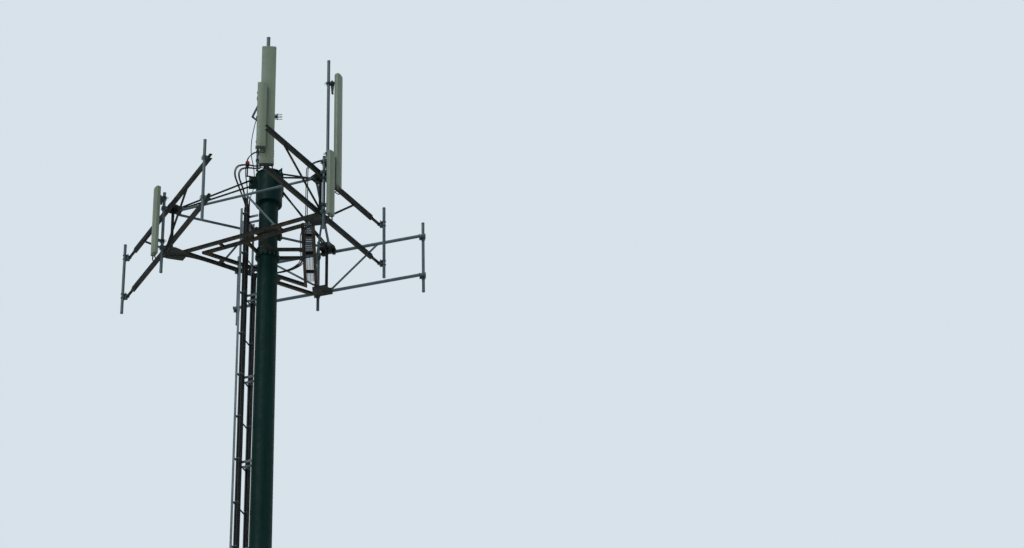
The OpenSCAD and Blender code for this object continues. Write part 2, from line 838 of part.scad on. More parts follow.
// a direction square to each heading of the curve, turned as little as possible
function sides_along(t, i, u) =
    i >= len(t) ? []
    : let (v = unit(u - (u * t[i]) * t[i])) concat([v], sides_along(t, i + 1, v));

// one round cable through the given points
module cable(points, d) {
    p = spline(points, 4);
    n = len(points) - 1;
    m = 6;
    t = [for (i = [0 : 4 * n])
        i == 0 ? unit(points[1] - points[0])
        : i == 4 * n ? unit(points[n] - points[n - 1]) : unit(p[i + 1] - p[i - 1])];
    us = sides_along(t, 0, cross(t[0], abs(t[0][2]) > 0.7 ? [1, 0, 0] : [0, 0, 1]));
    rings = [for (i = [0 : 4 * n])
        let (v = cross(t[i], us[i]))
        for (k = [0 : m - 1]) p[i] + d / 2 * (cos(360 * k / m) * us[i] + sin(360 * k / m) * v)];
    last = 4 * n * m;
    polyhedron(rings, concat(
        [[for (k = [0 : m - 1]) k]],
        [for (i = [0 : 4 * n - 1], k = [0 : m - 1])
            [i * m + k, (i + 1) * m + k, (i + 1) * m + (k + 1) % m, i * m + (k + 1) % m]],
        [[for (k = [m - 1 : -1 : 0]) last + k]]), convexity = 10);
}

JUMPER_D = 16;

// top end of a coax cable in plan, by column and row of its bundle
function coax_end(y0, columns, i, j, z) =
    let (pitch = coax_d + bundle_gap, r = ladder_r(z) - 10 - coax_d / 2 - j * pitch,
        y = y0 + (i - (columns - 1) / 2) * pitch)
    [r * cos(LADDER_AZ) - y * sin(LADDER_AZ), r * sin(LADDER_AZ) + y * cos(LADDER_AZ)];

// point in a frame's own coordinates, lifted into the head
function head_pt(n, x, y, z) = let (q = sector_pt(n, x, y)) [q[0], q[1], z];

// jumpers from the left bundle, looping out beside the drum and up into the mast panels
module jumpers_mast() {
    tall_z = MAST_PANEL_Z - 34;
    short_z = MAST_SHORT_Z - 34;
    short_y = SIDE_Y - MAST_SHORT_BACK - 45;
    top = ladder_top - shaft_top + 0.4;
    color([0.03, 0.03, 0.03]) translate([0, 0, shaft_top]) {
        for (i = [0 : 3]) {
            e = coax_end(LEFT_Y, 4, i, 0, ladder_top);
            sx = MAST_PANEL_X + (i - 1.5) * 80;
            lane = -205 - 24 * i;
            cable([[e[0], e[1], top], [e[0], e[1], top + 120],
                [-500 - 22 * i, -95 - 20 * i, 1500], [-585 - 20 * i, -150 - 20 * i, 1760],
                [-560 - 14 * i, -190 - 20 * i, 1950 + 12 * i], [-440, lane, 2010 + 8 * i],
                [-290, lane, 1975], [sx - 60, lane, 1962], [sx - 12, lane + 36, 1958],
                [sx, MAST_PANEL_Y, 1988], [sx, MAST_PANEL_Y, tall_z - 0.4]], JUMPER_D);
        }
        for (i = [0 : 1]) {
            e = coax_end(LEFT_Y, 4, i + 2, 1, ladder_top);
            sx = MAST_SHORT_X + (i - 0.5) * 140;
            cable([[e[0], e[1], top], [e[0], e[1], top + 100],
                [-430, -180 - 26 * i, 1480], [-470, -330 - 26 * i, 1750],
                [-430, -395 - 26 * i, 2020], [-330 + 60 * i, -370 - 26 * i, 2190],
                [sx, short_y - 20, 2260], [sx, short_y, 2310], [sx, short_y, short_z - 0.4]],
                JUMPER_D);
        }
        e = coax_end(LEFT_Y, 4, 0, 1, ladder_top);
        cable([[e[0], e[1], top], [e[0], e[1], top + 120], [-370, 55, 1400],
            [-308, 72, 1650], [-300, 70, 1940], [-322, 40, 2150], [-370, -10, 2400],
            [-372, -40, 2700], [-325, -55, 3050], [-288, -52, 3240], [-285, -50, 3314.6]],
            JUMPER_D - 2);
    }
}

// jumpers from the right bundle, round the back of the pole, under the walkway and up
module jumpers_sector_1() {
    top = RIGHT_TOP + 0.4;
    color([0.03, 0.03, 0.03]) translate([0, 0, shaft_top])
        for (i = [0 : 1]) {
            k = 30 * (1 - i);
            e = coax_end(RIGHT_Y, 3, i, 0, shaft_top + RIGHT_TOP);
            tall_x = TALL_X + (i - 0.5) * SOCKET_PITCH;
            rise = [706 + k, -1239 + 0.6 * k];
            cable([[e[0], e[1], top], [e[0], e[1], top + 70], [-150, 440 + k, -90],
                [150, 490 + k, -40], [450, 430 + k, 0], [640 + k, 260, 16], [690 + k, 0, 16],
                [685 + k, -400, 16], [696 + k, -900, 14], [708 + k, -1190, 20],
                [rise[0], rise[1], 90], [rise[0], rise[1], 300], [rise[0], rise[1], 1130],
                head_pt(1, 166 - k, -290, 1280), head_pt(1, 150 - k, -170, 1345),
                head_pt(1, 136 - k, -20, 1350), head_pt(1, 130 - k, 90, 1335),
                head_pt(1, 98 - k, 148, 1270), head_pt(1, 72 - k, 168, 1100),
                head_pt(1, 70 - k, 170, TALL_Z + 60), head_pt(1, 66 - k, 185, TALL_Z - 80),
                head_pt(1, 28 - 2 * k, 230, TALL_Z - 145),
                head_pt(1, tall_x + 8, TALL_Y + 2, TALL_Z - 145),
                head_pt(1, tall_x, TALL_Y, TALL_Z - 100),
                head_pt(1, tall_x, TALL_Y, TALL_Z - 34.4)], JUMPER_D);
            f = coax_end(RIGHT_Y, 3, i, 1, shaft_top + RIGHT_TOP);
            short_x = PIPES_1[1][0] + (i - 0.5) * SOCKET_PITCH;
            cable([[f[0], f[1], top], [f[0], f[1], top + 40], [-110, 370 + k, -150],
                [150, 420 + k, -90], [420, 360 + k, -40], [590 + k, 200, -14], [640 + k, 0, -12],
                [635 + k, -400, -12], [620 + k, -800, -14], [690 + k, -1060, -22],
                head_pt(1, 122 - k, -100, -60), head_pt(1, 122 - k, 90, -120),
                head_pt(1, 130 - k + 14 * i, 170, -165), head_pt(1, short_x, 228, -180),
                head_pt(1, short_x, SHORT_Y, SHORT_1_Z - 95),
                head_pt(1, short_x, SHORT_Y, SHORT_1_Z - 34.4)], JUMPER_D);
        }
}

// jumpers from the right bundle along the ring to the panel of the second frame
module jumpers_sector_2() {
    top = RIGHT_TOP + 0.4;
    color([0.03, 0.03, 0.03]) translate([0, 0, shaft_top])
        for (i = [0 : 1]) {
            e = coax_end(RIGHT_Y, 3, 2, i, shaft_top + RIGHT_TOP);
            k = 26 * i;
            sx = PIPES_2[2][0] + (i - 0.5) * SOCKET_PITCH;
            cable([[e[0], e[1], top], [e[0], e[1], -90], [-236 + k, 425, -10],
                [-226 + k, 500, 10], [-300, 548 + k, 10], [-500, 574 + k, 8],
                [-800, 414 + k, 8], [-1300, 144 + k, 8], [-1650, 4 + k, -10],
                head_pt(2, 34 + k, -60, -30), head_pt(2, 34 + k, 110, -130),
                head_pt(2, 2.4 * k - 14, 190, -215), head_pt(2, sx, 236, -225),
                head_pt(2, sx, SHORT_Y, SHORT_2_Z - 85),
                head_pt(2, sx, SHORT_Y, SHORT_2_Z - 34.4)], JUMPER_D);
        }
}
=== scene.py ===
import bpy, bmesh, math, random
from itertools import product
from mathutils import Matrix, Vector


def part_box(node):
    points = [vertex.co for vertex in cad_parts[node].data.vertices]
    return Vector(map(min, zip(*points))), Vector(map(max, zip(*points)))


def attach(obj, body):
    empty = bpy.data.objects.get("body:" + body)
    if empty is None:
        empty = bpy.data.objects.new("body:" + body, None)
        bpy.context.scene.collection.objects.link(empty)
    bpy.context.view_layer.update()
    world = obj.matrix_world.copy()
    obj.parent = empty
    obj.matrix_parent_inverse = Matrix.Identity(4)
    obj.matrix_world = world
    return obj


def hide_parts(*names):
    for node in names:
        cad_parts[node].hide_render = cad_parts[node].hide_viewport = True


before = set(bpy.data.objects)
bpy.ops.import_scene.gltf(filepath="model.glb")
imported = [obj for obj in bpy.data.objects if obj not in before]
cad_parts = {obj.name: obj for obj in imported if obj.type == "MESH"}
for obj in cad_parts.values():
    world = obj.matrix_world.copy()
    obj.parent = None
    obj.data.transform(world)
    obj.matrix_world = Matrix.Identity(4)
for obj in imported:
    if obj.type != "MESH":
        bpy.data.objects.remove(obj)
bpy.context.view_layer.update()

# Where the photograph was taken: on the ground 48.9 m in front of the pole, at eye height,
# with a long lens that looks up at the antenna head.
def placed(name, data):
    thing = bpy.data.objects.new(name, data)
    bpy.context.scene.collection.objects.link(thing)
    return thing


SENSOR, FOCAL_PIXELS, PICTURE_PIXELS = 36.0, 3000.0, 1024
view_data = bpy.data.cameras.new("view_from_the_ground")
view_data.sensor_width = SENSOR
view_data.lens = FOCAL_PIXELS / PICTURE_PIXELS * SENSOR
view_data.clip_end = 500.0
view = placed("view_from_the_ground", view_data)
pitch, yaw, roll = math.radians(32.74), math.radians(5.55), math.radians(-1.57)
look = Vector((math.sin(yaw) * math.cos(pitch), math.cos(yaw) * math.cos(pitch), math.sin(pitch)))
level_side = Vector((math.cos(yaw), -math.sin(yaw), 0.0))
level_up = level_side.cross(look)
side = level_side * math.cos(roll) + level_up * math.sin(roll)
upward = level_up * math.cos(roll) - level_side * math.sin(roll)
turn = Matrix((side, upward, -look)).transposed().to_4x4()
view.matrix_world = Matrix.Translation((0.0, -48.90, 1.6)) @ turn
bpy.context.scene.camera = view
bpy.context.scene.view_settings.view_transform = "Standard"


# Plain pale sky all round and one broad soft sun from the front left, at a plain level.
# The eye, metal and clear plastic see the paler sky; the object is lit by the plain one.
def node(tree, kind, inputs, **settings):
    """one shader node, with its settings made, its values typed in and its sockets wired"""
    made_node = tree.nodes.new("ShaderNode" + kind)
    for name, value in settings.items():
        setattr(made_node, name, value)
    for socket, value in inputs.items():
        if isinstance(value, bpy.types.NodeSocket):
            tree.links.new(value, made_node.inputs[socket])
        else:
            made_node.inputs[socket].default_value = value
    return made_node.outputs


sky = bpy.data.worlds.new("plain_sky")
bpy.context.scene.world = sky
sky.use_nodes = True
sky.node_tree.nodes.clear()
sky_light = node(sky.node_tree, "Background", {"Color": (0.90, 0.95, 1.0, 1.0), "Strength": 0.68})[0]
sky_seen = node(sky.node_tree, "Background", {"Color": (0.68, 0.76, 0.82, 1.0), "Strength": 1.0})[0]
rays = node(sky.node_tree, "LightPath", {})
share = rays["Is Camera Ray"]
for seen_in in ("Is Glossy Ray", "Is Transmission Ray"):
    share = node(sky.node_tree, "Math", {0: share, 1: rays[seen_in]}, operation="MAXIMUM")[0]
sky_mix = node(sky.node_tree, "MixShader", {"Fac": share, 1: sky_light, 2: sky_seen})[0]
node(sky.node_tree, "OutputWorld", {"Surface": sky_mix})
sun_data = bpy.data.lights.new("soft_sun", "SUN")
sun_data.energy = 1.5
sun_data.angle = math.radians(35)
sun = placed("soft_sun", sun_data)
sun.rotation_euler = (math.radians(52), 0.0, math.radians(-38))

# Pale floor, a little under the base flange and wide enough for every view. Plain matt
# paint, and no part of the object.
FLOOR_REACH, FLOOR_LEVEL = 400, -0.002
floor_mesh = bpy.data.meshes.new("floor")
floor_mesh.from_pydata([(x * FLOOR_REACH, y * FLOOR_REACH, FLOOR_LEVEL)
                        for x, y in ((-1, -1), (1, -1), (1, 1), (-1, 1))], [], [(0, 1, 2, 3)])
floor = placed("floor", floor_mesh)
floor_paint = bpy.data.materials.new("pale_floor")
floor_paint.use_nodes = True
floor_skin = floor_paint.node_tree.nodes["Principled BSDF"]
floor_skin.inputs["Base Color"].default_value = (0.80, 0.81, 0.82, 1.0)
floor_skin.inputs["Roughness"].default_value = 0.9
floor_mesh.materials.append(floor_paint)


# Base flange: a 45 mm plate with a stub and twenty gussets, flame cut, welded and painted
# bottle green. Each anchor stud has a washer, a nut and a lock nut, all galvanised.
class Surface:
    """one finish, laid on coat by coat in the object's own space"""

    def __init__(self, name, rough, metal=0.0, shine=0.5):
        self.material = bpy.data.materials.new(name)
        self.material.use_nodes = True
        self.tree = self.material.node_tree
        self.skin = self.tree.nodes["Principled BSDF"]
        self.skin.inputs["Roughness"].default_value = rough
        self.skin.inputs["Metallic"].default_value = metal
        self.skin.inputs["Specular IOR Level"].default_value = shine
        self.place = self.add("TexCoord", {})["Object"]

    def add(self, kind, inputs, **settings):
        return node(self.tree, kind, inputs, **settings)

    def cloud(self, scale, detail=4.0, rough=0.55, sizes=(1, 1, 1)):
        spot = self.add("Mapping", {"Vector": self.place, "Scale": sizes})["Vector"]
        return self.add("TexNoise", {"Vector": spot, "Scale": scale, "Detail": detail,
                                     "Roughness": rough})["Fac"]

    def cells(self, scale):
        flakes = self.add("TexVoronoi", {"Vector": self.place, "Scale": scale})["Color"]
        return self.add("SeparateColor", {"Color": flakes})[0]

    def between(self, value, low, high, out_low=0.0, out_high=1.0):
        return self.add("MapRange", {"Value": value, "From Min": low, "From Max": high,
                                     "To Min": out_low, "To Max": out_high})["Result"]

    def spots(self, low, high, *cloud):
        return self.between(self.cloud(*cloud), low, high)

    def times(self, one, other):
        return self.add("Math", {0: one, 1: other}, operation="MULTIPLY")[0]

    def facing_up(self, low, high):
        normal = self.add("NewGeometry", {})["Normal"]
        return self.between(self.add("SeparateXYZ", {0: normal})[2], low, high)

    def edges(self, reach):
        """grows from 0 to 1 near an edge, where a normal rounded over reach leaves the true one"""
        rounded = self.add("Bevel", {"Radius": reach}, samples=4)[0]
        true = self.add("NewGeometry", {})["Normal"]
        agree = self.add("VectorMath", {0: rounded, 1: true}, operation="DOT_PRODUCT")["Value"]
        return self.between(agree, 0.97, 0.80)

    def worn(self, reach, *spots):
        return self.times(self.edges(reach), self.spots(*spots))

    def share_of(self, share):
        """how far a coat covers: a socket as it is, or the limits and the cloud of some spots"""
        return self.spots(*share) if isinstance(share, tuple) else share

    def ground(self, share, dark, light):
        self.shade = self.add("Mix", {0: self.share_of(share), 6: (*dark, 1.0), 7: (*light, 1.0)},
                              data_type="RGBA")[2]

    def coat(self, share, colour, amount=1.0):
        share = self.share_of(share)
        share = self.times(share, amount) if amount < 1.0 else share
        self.shade = self.add("Mix", {0: share, 6: self.shade, 7: (*colour, 1.0)}, data_type="RGBA")[2]

    def finished(self, gloss, smooth, dull, *bumps):
        """wires colour and gloss, and lays on the bumps, each a depth and a cloud"""
        skin = {"Base Color": self.shade, "Roughness": self.between(gloss, 0.3, 0.7, smooth, dull)}
        for depth, *cloud in bumps:
            bump = {"Height": self.cloud(*cloud), "Distance": depth, "Strength": 1.0}
            if "Normal" in skin:
                bump["Normal"] = skin["Normal"]
            skin["Normal"] = self.add("Bump", bump)["Normal"]
        for socket, value in skin.items():
            self.tree.links.new(value, self.skin.inputs[socket])
        return self.material


paint = Surface("bottle_green_paint", 0.45, shine=0.05)
paint.ground((0.35, 0.65, 1.1, 4.0, 0.55, (1, 1, 0.3)), (0.0009, 0.0112, 0.0092),
             (0.0020, 0.0182, 0.0150))
paint.coat((0.5, 0.8, 7.0, 6.0, 0.6), (0.008, 0.028, 0.024), 0.28)
paint.coat((0.55, 0.72, 16.0, 5.0, 0.6, (1, 1, 0.022)), (0.0010, 0.0055, 0.0045), 0.60)
paint.coat((0.60, 0.74, 21.0, 3.0, 0.5, (1, 1, 0.016)), (0.006, 0.024, 0.021), 0.30)
paint.coat(paint.worn(0.006, 0.46, 0.60, 70.0, 6.0, 0.65), (0.046, 0.064, 0.058), 0.75)
paint.coat((0.70, 0.73, 48.0, 8.0, 0.72), (0.070, 0.030, 0.014))
paint.coat(paint.facing_up(0.6, 1.0), (0.042, 0.050, 0.042), 0.45)
bottle_green = paint.finished(paint.cloud(9.0, 5.0), 0.36, 0.60, (0.010, 2.2, 2.0), (0.0004, 260.0, 2.0))


def galvanised_zinc(name, tone):
    """spangled zinc with grime in streaks; tone below 1 darkens every colour as painted shade"""
    def toned(*colour):
        return tuple(tone * part for part in colour)

    coating = Surface(name, 0.5, 0.45, 0.3)
    coating.ground(coating.cells(62.0), toned(0.046, 0.071, 0.079), toned(0.070, 0.104, 0.114))
    coating.coat((0.40, 0.66, 3.5, 6.0, 0.6), toned(0.039, 0.060, 0.066), 0.6)
    coating.coat((0.60, 0.72, 34.0, 6.0, 0.7), toned(0.125, 0.160, 0.165), 0.40)
    coating.coat((0.54, 0.74, 11.0, 6.0, 0.6, (1, 1, 0.12)), toned(0.019, 0.026, 0.026), 0.65)
    coating.coat(coating.worn(0.003, 0.42, 0.60, 90.0, 5.0, 0.6), toned(0.130, 0.168, 0.178), 0.55)
    coating.coat((0.66, 0.76, 19.0, 6.0, 0.65, (1, 1, 0.25)), (0.055, 0.038, 0.022), 0.45)
    return coating.finished(coating.cells(62.0), 0.44, 0.64, (0.0006, 140.0, 3.0))


zinc = galvanised_zinc("galvanised_zinc", 1.0)
UP, DOWN = Vector((0, 0, 1)), Vector((0, 0, -1))


def clad(finish, *nodes):
    """puts one finish on nodes of the frame"""
    for name in nodes:
        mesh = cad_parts[name].data
        mesh.materials.clear()
        mesh.materials.append(finish)


def made(steel, name, finish, crease=35):
    """turns finished mesh work into a piece of the tower"""
    bmesh.ops.recalc_face_normals(steel, faces=steel.faces)
    mesh = bpy.data.meshes.new(name)
    steel.to_mesh(mesh)
    steel.free()
    mesh.shade_smooth()
    mesh.set_sharp_from_angle(angle=math.radians(crease))
    mesh.materials.append(finish)
    piece = placed(name, mesh)
    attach(piece, "root")
    return piece


def moved(x, y, z):
    return Matrix.Translation((x, y, z))


def spun(angle, axis="Z"):
    return Matrix.Rotation(angle, 4, axis)


def around(radius, angle, height=0.0):
    return Vector((radius * math.cos(angle), radius * math.sin(angle), height))


def circle(radius, height, turns):
    return [around(radius, math.tau * k / turns, height) for k in range(turns + 1)]


def turned_to(point, outward, hint=(0, 0, 1)):
    """a place at a point whose z axis looks along outward"""
    z = Vector(outward).normalized()
    side = Vector(hint).cross(z)
    if side.length < 1e-4:
        side = Vector((1, 0, 0)).cross(z)
    side.normalize()
    return Matrix.Translation(point) @ Matrix((side, z.cross(side), z)).transposed().to_4x4()


def skinned(steel, rings):
    """a closed skin from the first ring of points to the last"""
    loops = [[steel.verts.new(point) for point in ring] for ring in rings]
    count = len(loops[0])
    for low, high in zip(loops, loops[1:]):
        for k in range(count):
            steel.faces.new((low[k], low[(k + 1) % count], high[(k + 1) % count], high[k]))
    steel.faces.new(loops[0][::-1])
    steel.faces.new(loops[-1])


def turned(steel, place, outline, sides):
    """a round or six-sided body; outline holds (radius, height) from the bottom up"""
    skinned(steel, [[place @ around(radius, math.tau * k / sides, height) for k in range(sides)]
                    for radius, height in outline])


def tube(steel, path, radii, sides=10):
    """a round bar or cable that follows a path without twisting"""
    if not isinstance(radii, list):
        radii = [radii] * len(path)
    headings = [(after - before).normalized() for before, after in zip(path[:1] + path, path[1:] + path[-1:])]
    side = headings[0].orthogonal().normalized()
    rings = []
    for point, heading, radius in zip(path, headings, radii):
        side = (side - heading * side.dot(heading)).normalized()
        other = heading.cross(side)
        rings.append([point + (side * math.cos(math.tau * k / sides)
                               + other * math.sin(math.tau * k / sides)) * radius for k in range(sides)])
    skinned(steel, rings)


def weld(steel, path, size, sides=6, ripple=0.012):
    """a weld bead laid along a path, thicker and thinner as the electrode moved"""
    dense = []
    for start, end in zip(path, path[1:]):
        steps = max(1, round((end - start).length / ripple))
        dense += [start.lerp(end, k / steps) for k in range(steps)]
    dense.append(path[-1])
    tube(steel, dense, [size * (1.16 if k % 2 else 0.92) for k in range(len(dense))], sides)


def nut(steel, place, bolt, stud):
    """washer, chamfered hexagon nut and the end of its stud; bolt is the thread diameter"""
    lift, tall = 0.16 * bolt, 0.8 * bolt
    turned(steel, place, [(1.02 * bolt, 0), (1.08 * bolt, 0.2 * lift), (1.08 * bolt, lift)], 18)
    turned(steel, place, [(0.80 * bolt, lift), (0.92 * bolt, lift + 0.09 * bolt),
                          (0.92 * bolt, lift + tall - 0.09 * bolt), (0.78 * bolt, lift + tall)], 6)
    if stud > 0:
        thread = [(0.5 * bolt - (0.05 * bolt if k % 2 else 0), lift + tall - 0.02 * bolt + 0.1 * bolt * k)
                  for k in range(max(3, int(stud * 10)))]
        turned(steel, place, thread + [(0.40 * bolt, thread[-1][1] + 0.08 * bolt)], 10)


clad(bottle_green, "base_flange")
ANCHORS, ANCHOR_CIRCLE, BASE_THICK, STUB_RADIUS = 20, 0.515, 0.045, 0.426
studs = bmesh.new()
for k in range(ANCHORS):
    angle = math.tau * (k + 0.5) / ANCHORS
    foot = around(ANCHOR_CIRCLE, angle, BASE_THICK)
    nut(studs, turned_to(foot, UP, around(1, angle)), 0.036, 0.0)
    nut(studs, turned_to(foot + UP * 0.030, UP), 0.036, 1.3)
made(studs, "anchor_studs", zinc)
beads = bmesh.new()
weld(beads, circle(STUB_RADIUS + 0.003, BASE_THICK + 0.003, 120), 0.007)
for k in range(ANCHORS):
    out = around(1, math.tau * k / ANCHORS)
    for s in (-1, 1):
        foot = out * STUB_RADIUS + Vector((-out.y, out.x, 0)) * s * 0.008 + UP * (BASE_THICK + 0.002)
        weld(beads, [foot + out * 0.125, foot, foot + UP * 0.255], 0.0045)
made(beads, "base_welds", bottle_green)


# Shaft: three tapered sections of rolled plate with one long seam each, bolted flange to
# flange at 12 m and 24 m. Painted bottle green after galvanising; nuts were left bright.
SHAFT_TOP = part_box("shaft_upper")[1].z
FLANGES = LOW_FLANGE, HIGH_FLANGE = [12.0, 24.0]
TAPER = [(0.0, 0.430), (LOW_FLANGE, 0.310), (HIGH_FLANGE, 0.217), (SHAFT_TOP, 0.196)]


def shaft_radius(height):
    for (low, wide), (high, slim) in zip(TAPER, TAPER[1:]):
        if height <= high:
            return wide + (slim - wide) * (height - low) / (high - low)
    return TAPER[-1][1]


clad(bottle_green, "shaft_lower", "shaft_middle", "shaft_upper")
seams = bmesh.new()
for low, high, angle in ((0.42, 11.96, 0.9), (12.04, 23.96, 3.4), (24.04, 33.39, 5.1)):
    weld(seams, [around(shaft_radius(height), math.radians(60) + angle, height) for height in (low, high)],
         0.0045, 5, 0.045)
    for height in (low, high):
        weld(seams, circle(shaft_radius(height) + 0.002, height, 72), 0.006, 5, 0.03)
made(seams, "shaft_seams", bottle_green)
flange_bolts = bmesh.new()
JOINT_FACES, TOP_FACES = ((0.030, 0.5), (-0.030, 0.0)), ((-0.040, 0.4), (0.0, 0.3))
for height, out, count, bolt, faces in ((LOW_FLANGE, 0.358, 24, 0.024, JOINT_FACES),
                                        (HIGH_FLANGE, 0.264, 18, 0.024, JOINT_FACES),
                                        (SHAFT_TOP, 0.2285, 16, 0.011, TOP_FACES)):
    for k, (lift, stud) in product(range(count), faces):
        spot = around(out, math.tau * (k + 0.5) / count, height + lift)
        nut(flange_bolts, turned_to(spot, DOWN if lift < 0 else UP), bolt, stud)
made(flange_bolts, "shaft_flange_bolts", zinc)


# Access door near the foot: a pressed steel cover on a raised frame, hung on two hinges,
# with screws round the frame, a drip strip, vent slots and a hasp. An earth bar sits below.
def plate(steel, place, outline, thick, edge=0.0015):
    """a flat plate with broken edges; outline runs round its face in the xy plane"""
    count = len(outline)
    area = sum(outline[k - 1][0] * outline[k][1] - outline[k][0] * outline[k - 1][1] for k in range(count))
    points = [Vector(p) for p in (outline if area > 0 else outline[::-1])]
    inner = []
    for k in range(count):
        before = (points[k] - points[k - 1]).normalized()
        after = (points[(k + 1) % count] - points[k]).normalized()
        inward = Vector((-before.y - after.y, before.x + after.x))
        inner.append(points[k] + inward * edge / max(1.0 + before.dot(after), 0.3))
    levels = ((inner, 0.0), (points, edge), (points, thick - edge), (inner, thick))
    skinned(steel, [[place @ Vector((p.x, p.y, z)) for p in ring] for ring, z in levels])


def bar(steel, place, size, edge=0.0015):
    """a rectangular block, centred in x and y and standing on z = 0"""
    x, y = size[0] / 2, size[1] / 2
    plate(steel, place, [(-x, -y), (x, -y), (x, y), (-x, y)], size[2], edge)


def wall_place(bearing, out, aside, height):
    """a place on one side of the pole: x across it, y up, z outward"""
    return spun(bearing) @ moved(out, aside, height) @ Matrix(((0, 0, 1), (1, 0, 0), (0, 1, 0))).to_4x4()


clad(bottle_green, "access_door")
DOOR_LOW, DOOR_HIGH, DOOR_WIDE, DOOR_RIM = 0.70, 1.60, 0.32, 0.012
DOOR_MID = (DOOR_LOW + DOOR_HIGH) / 2
DOOR_FACE = shaft_radius(DOOR_LOW) + 0.022
FRAME_FACE = shaft_radius(DOOR_LOW) + 0.008


def on_door(aside, height, out):
    return wall_place(math.radians(-70), out, aside, height)


door = bmesh.new()
for s in (-1, 1):
    bar(door, on_door(s * (DOOR_WIDE / 2 - DOOR_RIM / 2), DOOR_MID, DOOR_FACE - 0.001),
        (DOOR_RIM, DOOR_HIGH - DOOR_LOW, 0.004))
    bar(door, on_door(0, DOOR_LOW + DOOR_RIM / 2 if s < 0 else DOOR_HIGH - DOOR_RIM / 2, DOOR_FACE - 0.001),
        (DOOR_WIDE, DOOR_RIM, 0.004))
bar(door, on_door(0, DOOR_MID, DOOR_FACE - 0.001),
    (DOOR_WIDE - 0.08, DOOR_HIGH - DOOR_LOW - 0.08, 0.0035), 0.003)
bar(door, on_door(0, DOOR_HIGH + 0.022, FRAME_FACE - 0.002), (DOOR_WIDE + 0.08, 0.006, 0.034), 0.001)
for k in range(7):
    bar(door, on_door(0, DOOR_HIGH - 0.13 - 0.016 * k, DOOR_FACE + 0.001), (0.16, 0.006, 0.006), 0.002)
for height in (DOOR_LOW + 0.16, DOOR_HIGH - 0.16):
    for k in (-1, 0, 1):
        pin = on_door(-DOOR_WIDE / 2 - 0.008, height + 0.030 * k, FRAME_FACE + 0.009)
        turned(door, pin @ spun(math.pi / 2, "X") @ moved(0, 0, -0.014),
               [(0.007, 0), (0.008, 0.001), (0.008, 0.027), (0.007, 0.028)], 14)
    bar(door, on_door(-DOOR_WIDE / 2 + 0.030, height, DOOR_FACE), (0.060, 0.075, 0.005))
made(door, "door_fittings", bottle_green)
door_screws = bmesh.new()
for s, k in product((-1, 1), range(5)):
    height = DOOR_LOW + 0.05 + k * (DOOR_HIGH - DOOR_LOW - 0.10) / 4
    nut(door_screws, on_door(s * (DOOR_WIDE / 2 + 0.020), height, FRAME_FACE), 0.008, 0.0)
bar(door_screws, on_door(DOOR_WIDE / 2 - 0.006, 1.15, DOOR_FACE), (0.070, 0.034, 0.004))
lock = on_door(DOOR_WIDE / 2 - 0.002, 1.128, DOOR_FACE + 0.006)
bar(door_screws, lock @ moved(0, -0.020, 0), (0.034, 0.040, 0.018), 0.003)
shackle = [lock @ Vector((0.010 * math.cos(a), 0.004 + 0.014 * math.sin(a), 0.009))
           for a in [math.pi * k / 10 for k in range(11)]]
tube(door_screws, shackle, 0.0035)
made(door_screws, "door_screws_and_lock", zinc)
earth = bmesh.new()
bar(earth, on_door(0, 0.56, shaft_radius(0.56) - 0.002), (0.20, 0.05, 0.016), 0.001)
for k in range(4):
    nut(earth, on_door(-0.069 + 0.046 * k, 0.56, shaft_radius(0.56) + 0.014), 0.010, 0.6)
made(earth, "earth_bar", zinc)

# Cable entry: a folded steel hood over the opening where the cables turn into the pole,
# with a screwed lid, a rain lip and a rubber gland round each cable on its roof.
clad(bottle_green, "cable_entry")
LADDER_ANGLE, STANDOFF, LADDER_WIDE = math.radians(156.5), 0.225, 0.60
HOOD_LOW, HOOD_HIGH, HOOD_WIDE = 0.640, 1.150, LADDER_WIDE + 0.12
HOOD_OUT = shaft_radius(HOOD_LOW) + STANDOFF + 0.070
HOOD_MID = (HOOD_LOW + HOOD_HIGH) / 2


def on_ladder(out, aside, height):
    """a point from its distance to the pole axis and its offset across the ladder"""
    return spun(LADDER_ANGLE) @ Vector((out, aside, height))


def ladder_place(out, aside, height):
    return wall_place(LADDER_ANGLE, out, aside, height)


hood = bmesh.new()
bar(hood, ladder_place(HOOD_OUT - 0.001, 0, HOOD_MID), (HOOD_WIDE - 0.05, HOOD_HIGH - HOOD_LOW - 0.05, 0.005))
bar(hood, ladder_place(HOOD_OUT - 0.001, 0, HOOD_HIGH - 0.004), (HOOD_WIDE + 0.02, 0.006, 0.024), 0.001)
for s in (-1, 1):
    bar(hood, ladder_place(HOOD_OUT + 0.003, s * 0.12, HOOD_MID - 0.02), (0.10, 0.012, 0.014), 0.003)
made(hood, "cable_entry_lid", bottle_green)
hood_screws = bmesh.new()
lid_rows = [HOOD_LOW + 0.055 + 0.133 * k for k in range(4)]
lid_screws = [*product((0.042 - HOOD_WIDE / 2, HOOD_WIDE / 2 - 0.042), lid_rows),
              *product((-0.15, 0.0, 0.15), (HOOD_LOW + 0.042, HOOD_HIGH - 0.042))]
for aside, height in lid_screws:
    nut(hood_screws, ladder_place(HOOD_OUT + 0.004, aside, height), 0.008, 0.0)
made(hood_screws, "cable_entry_screws", zinc)


# Coax ladder: flat rails and rungs of galvanised bar, spliced at the shaft joints. Every
# second rung stands off the pole on two plates that are welded to it.
def ladder_radius(height):
    return shaft_radius(min(height, SHAFT_TOP)) + STANDOFF


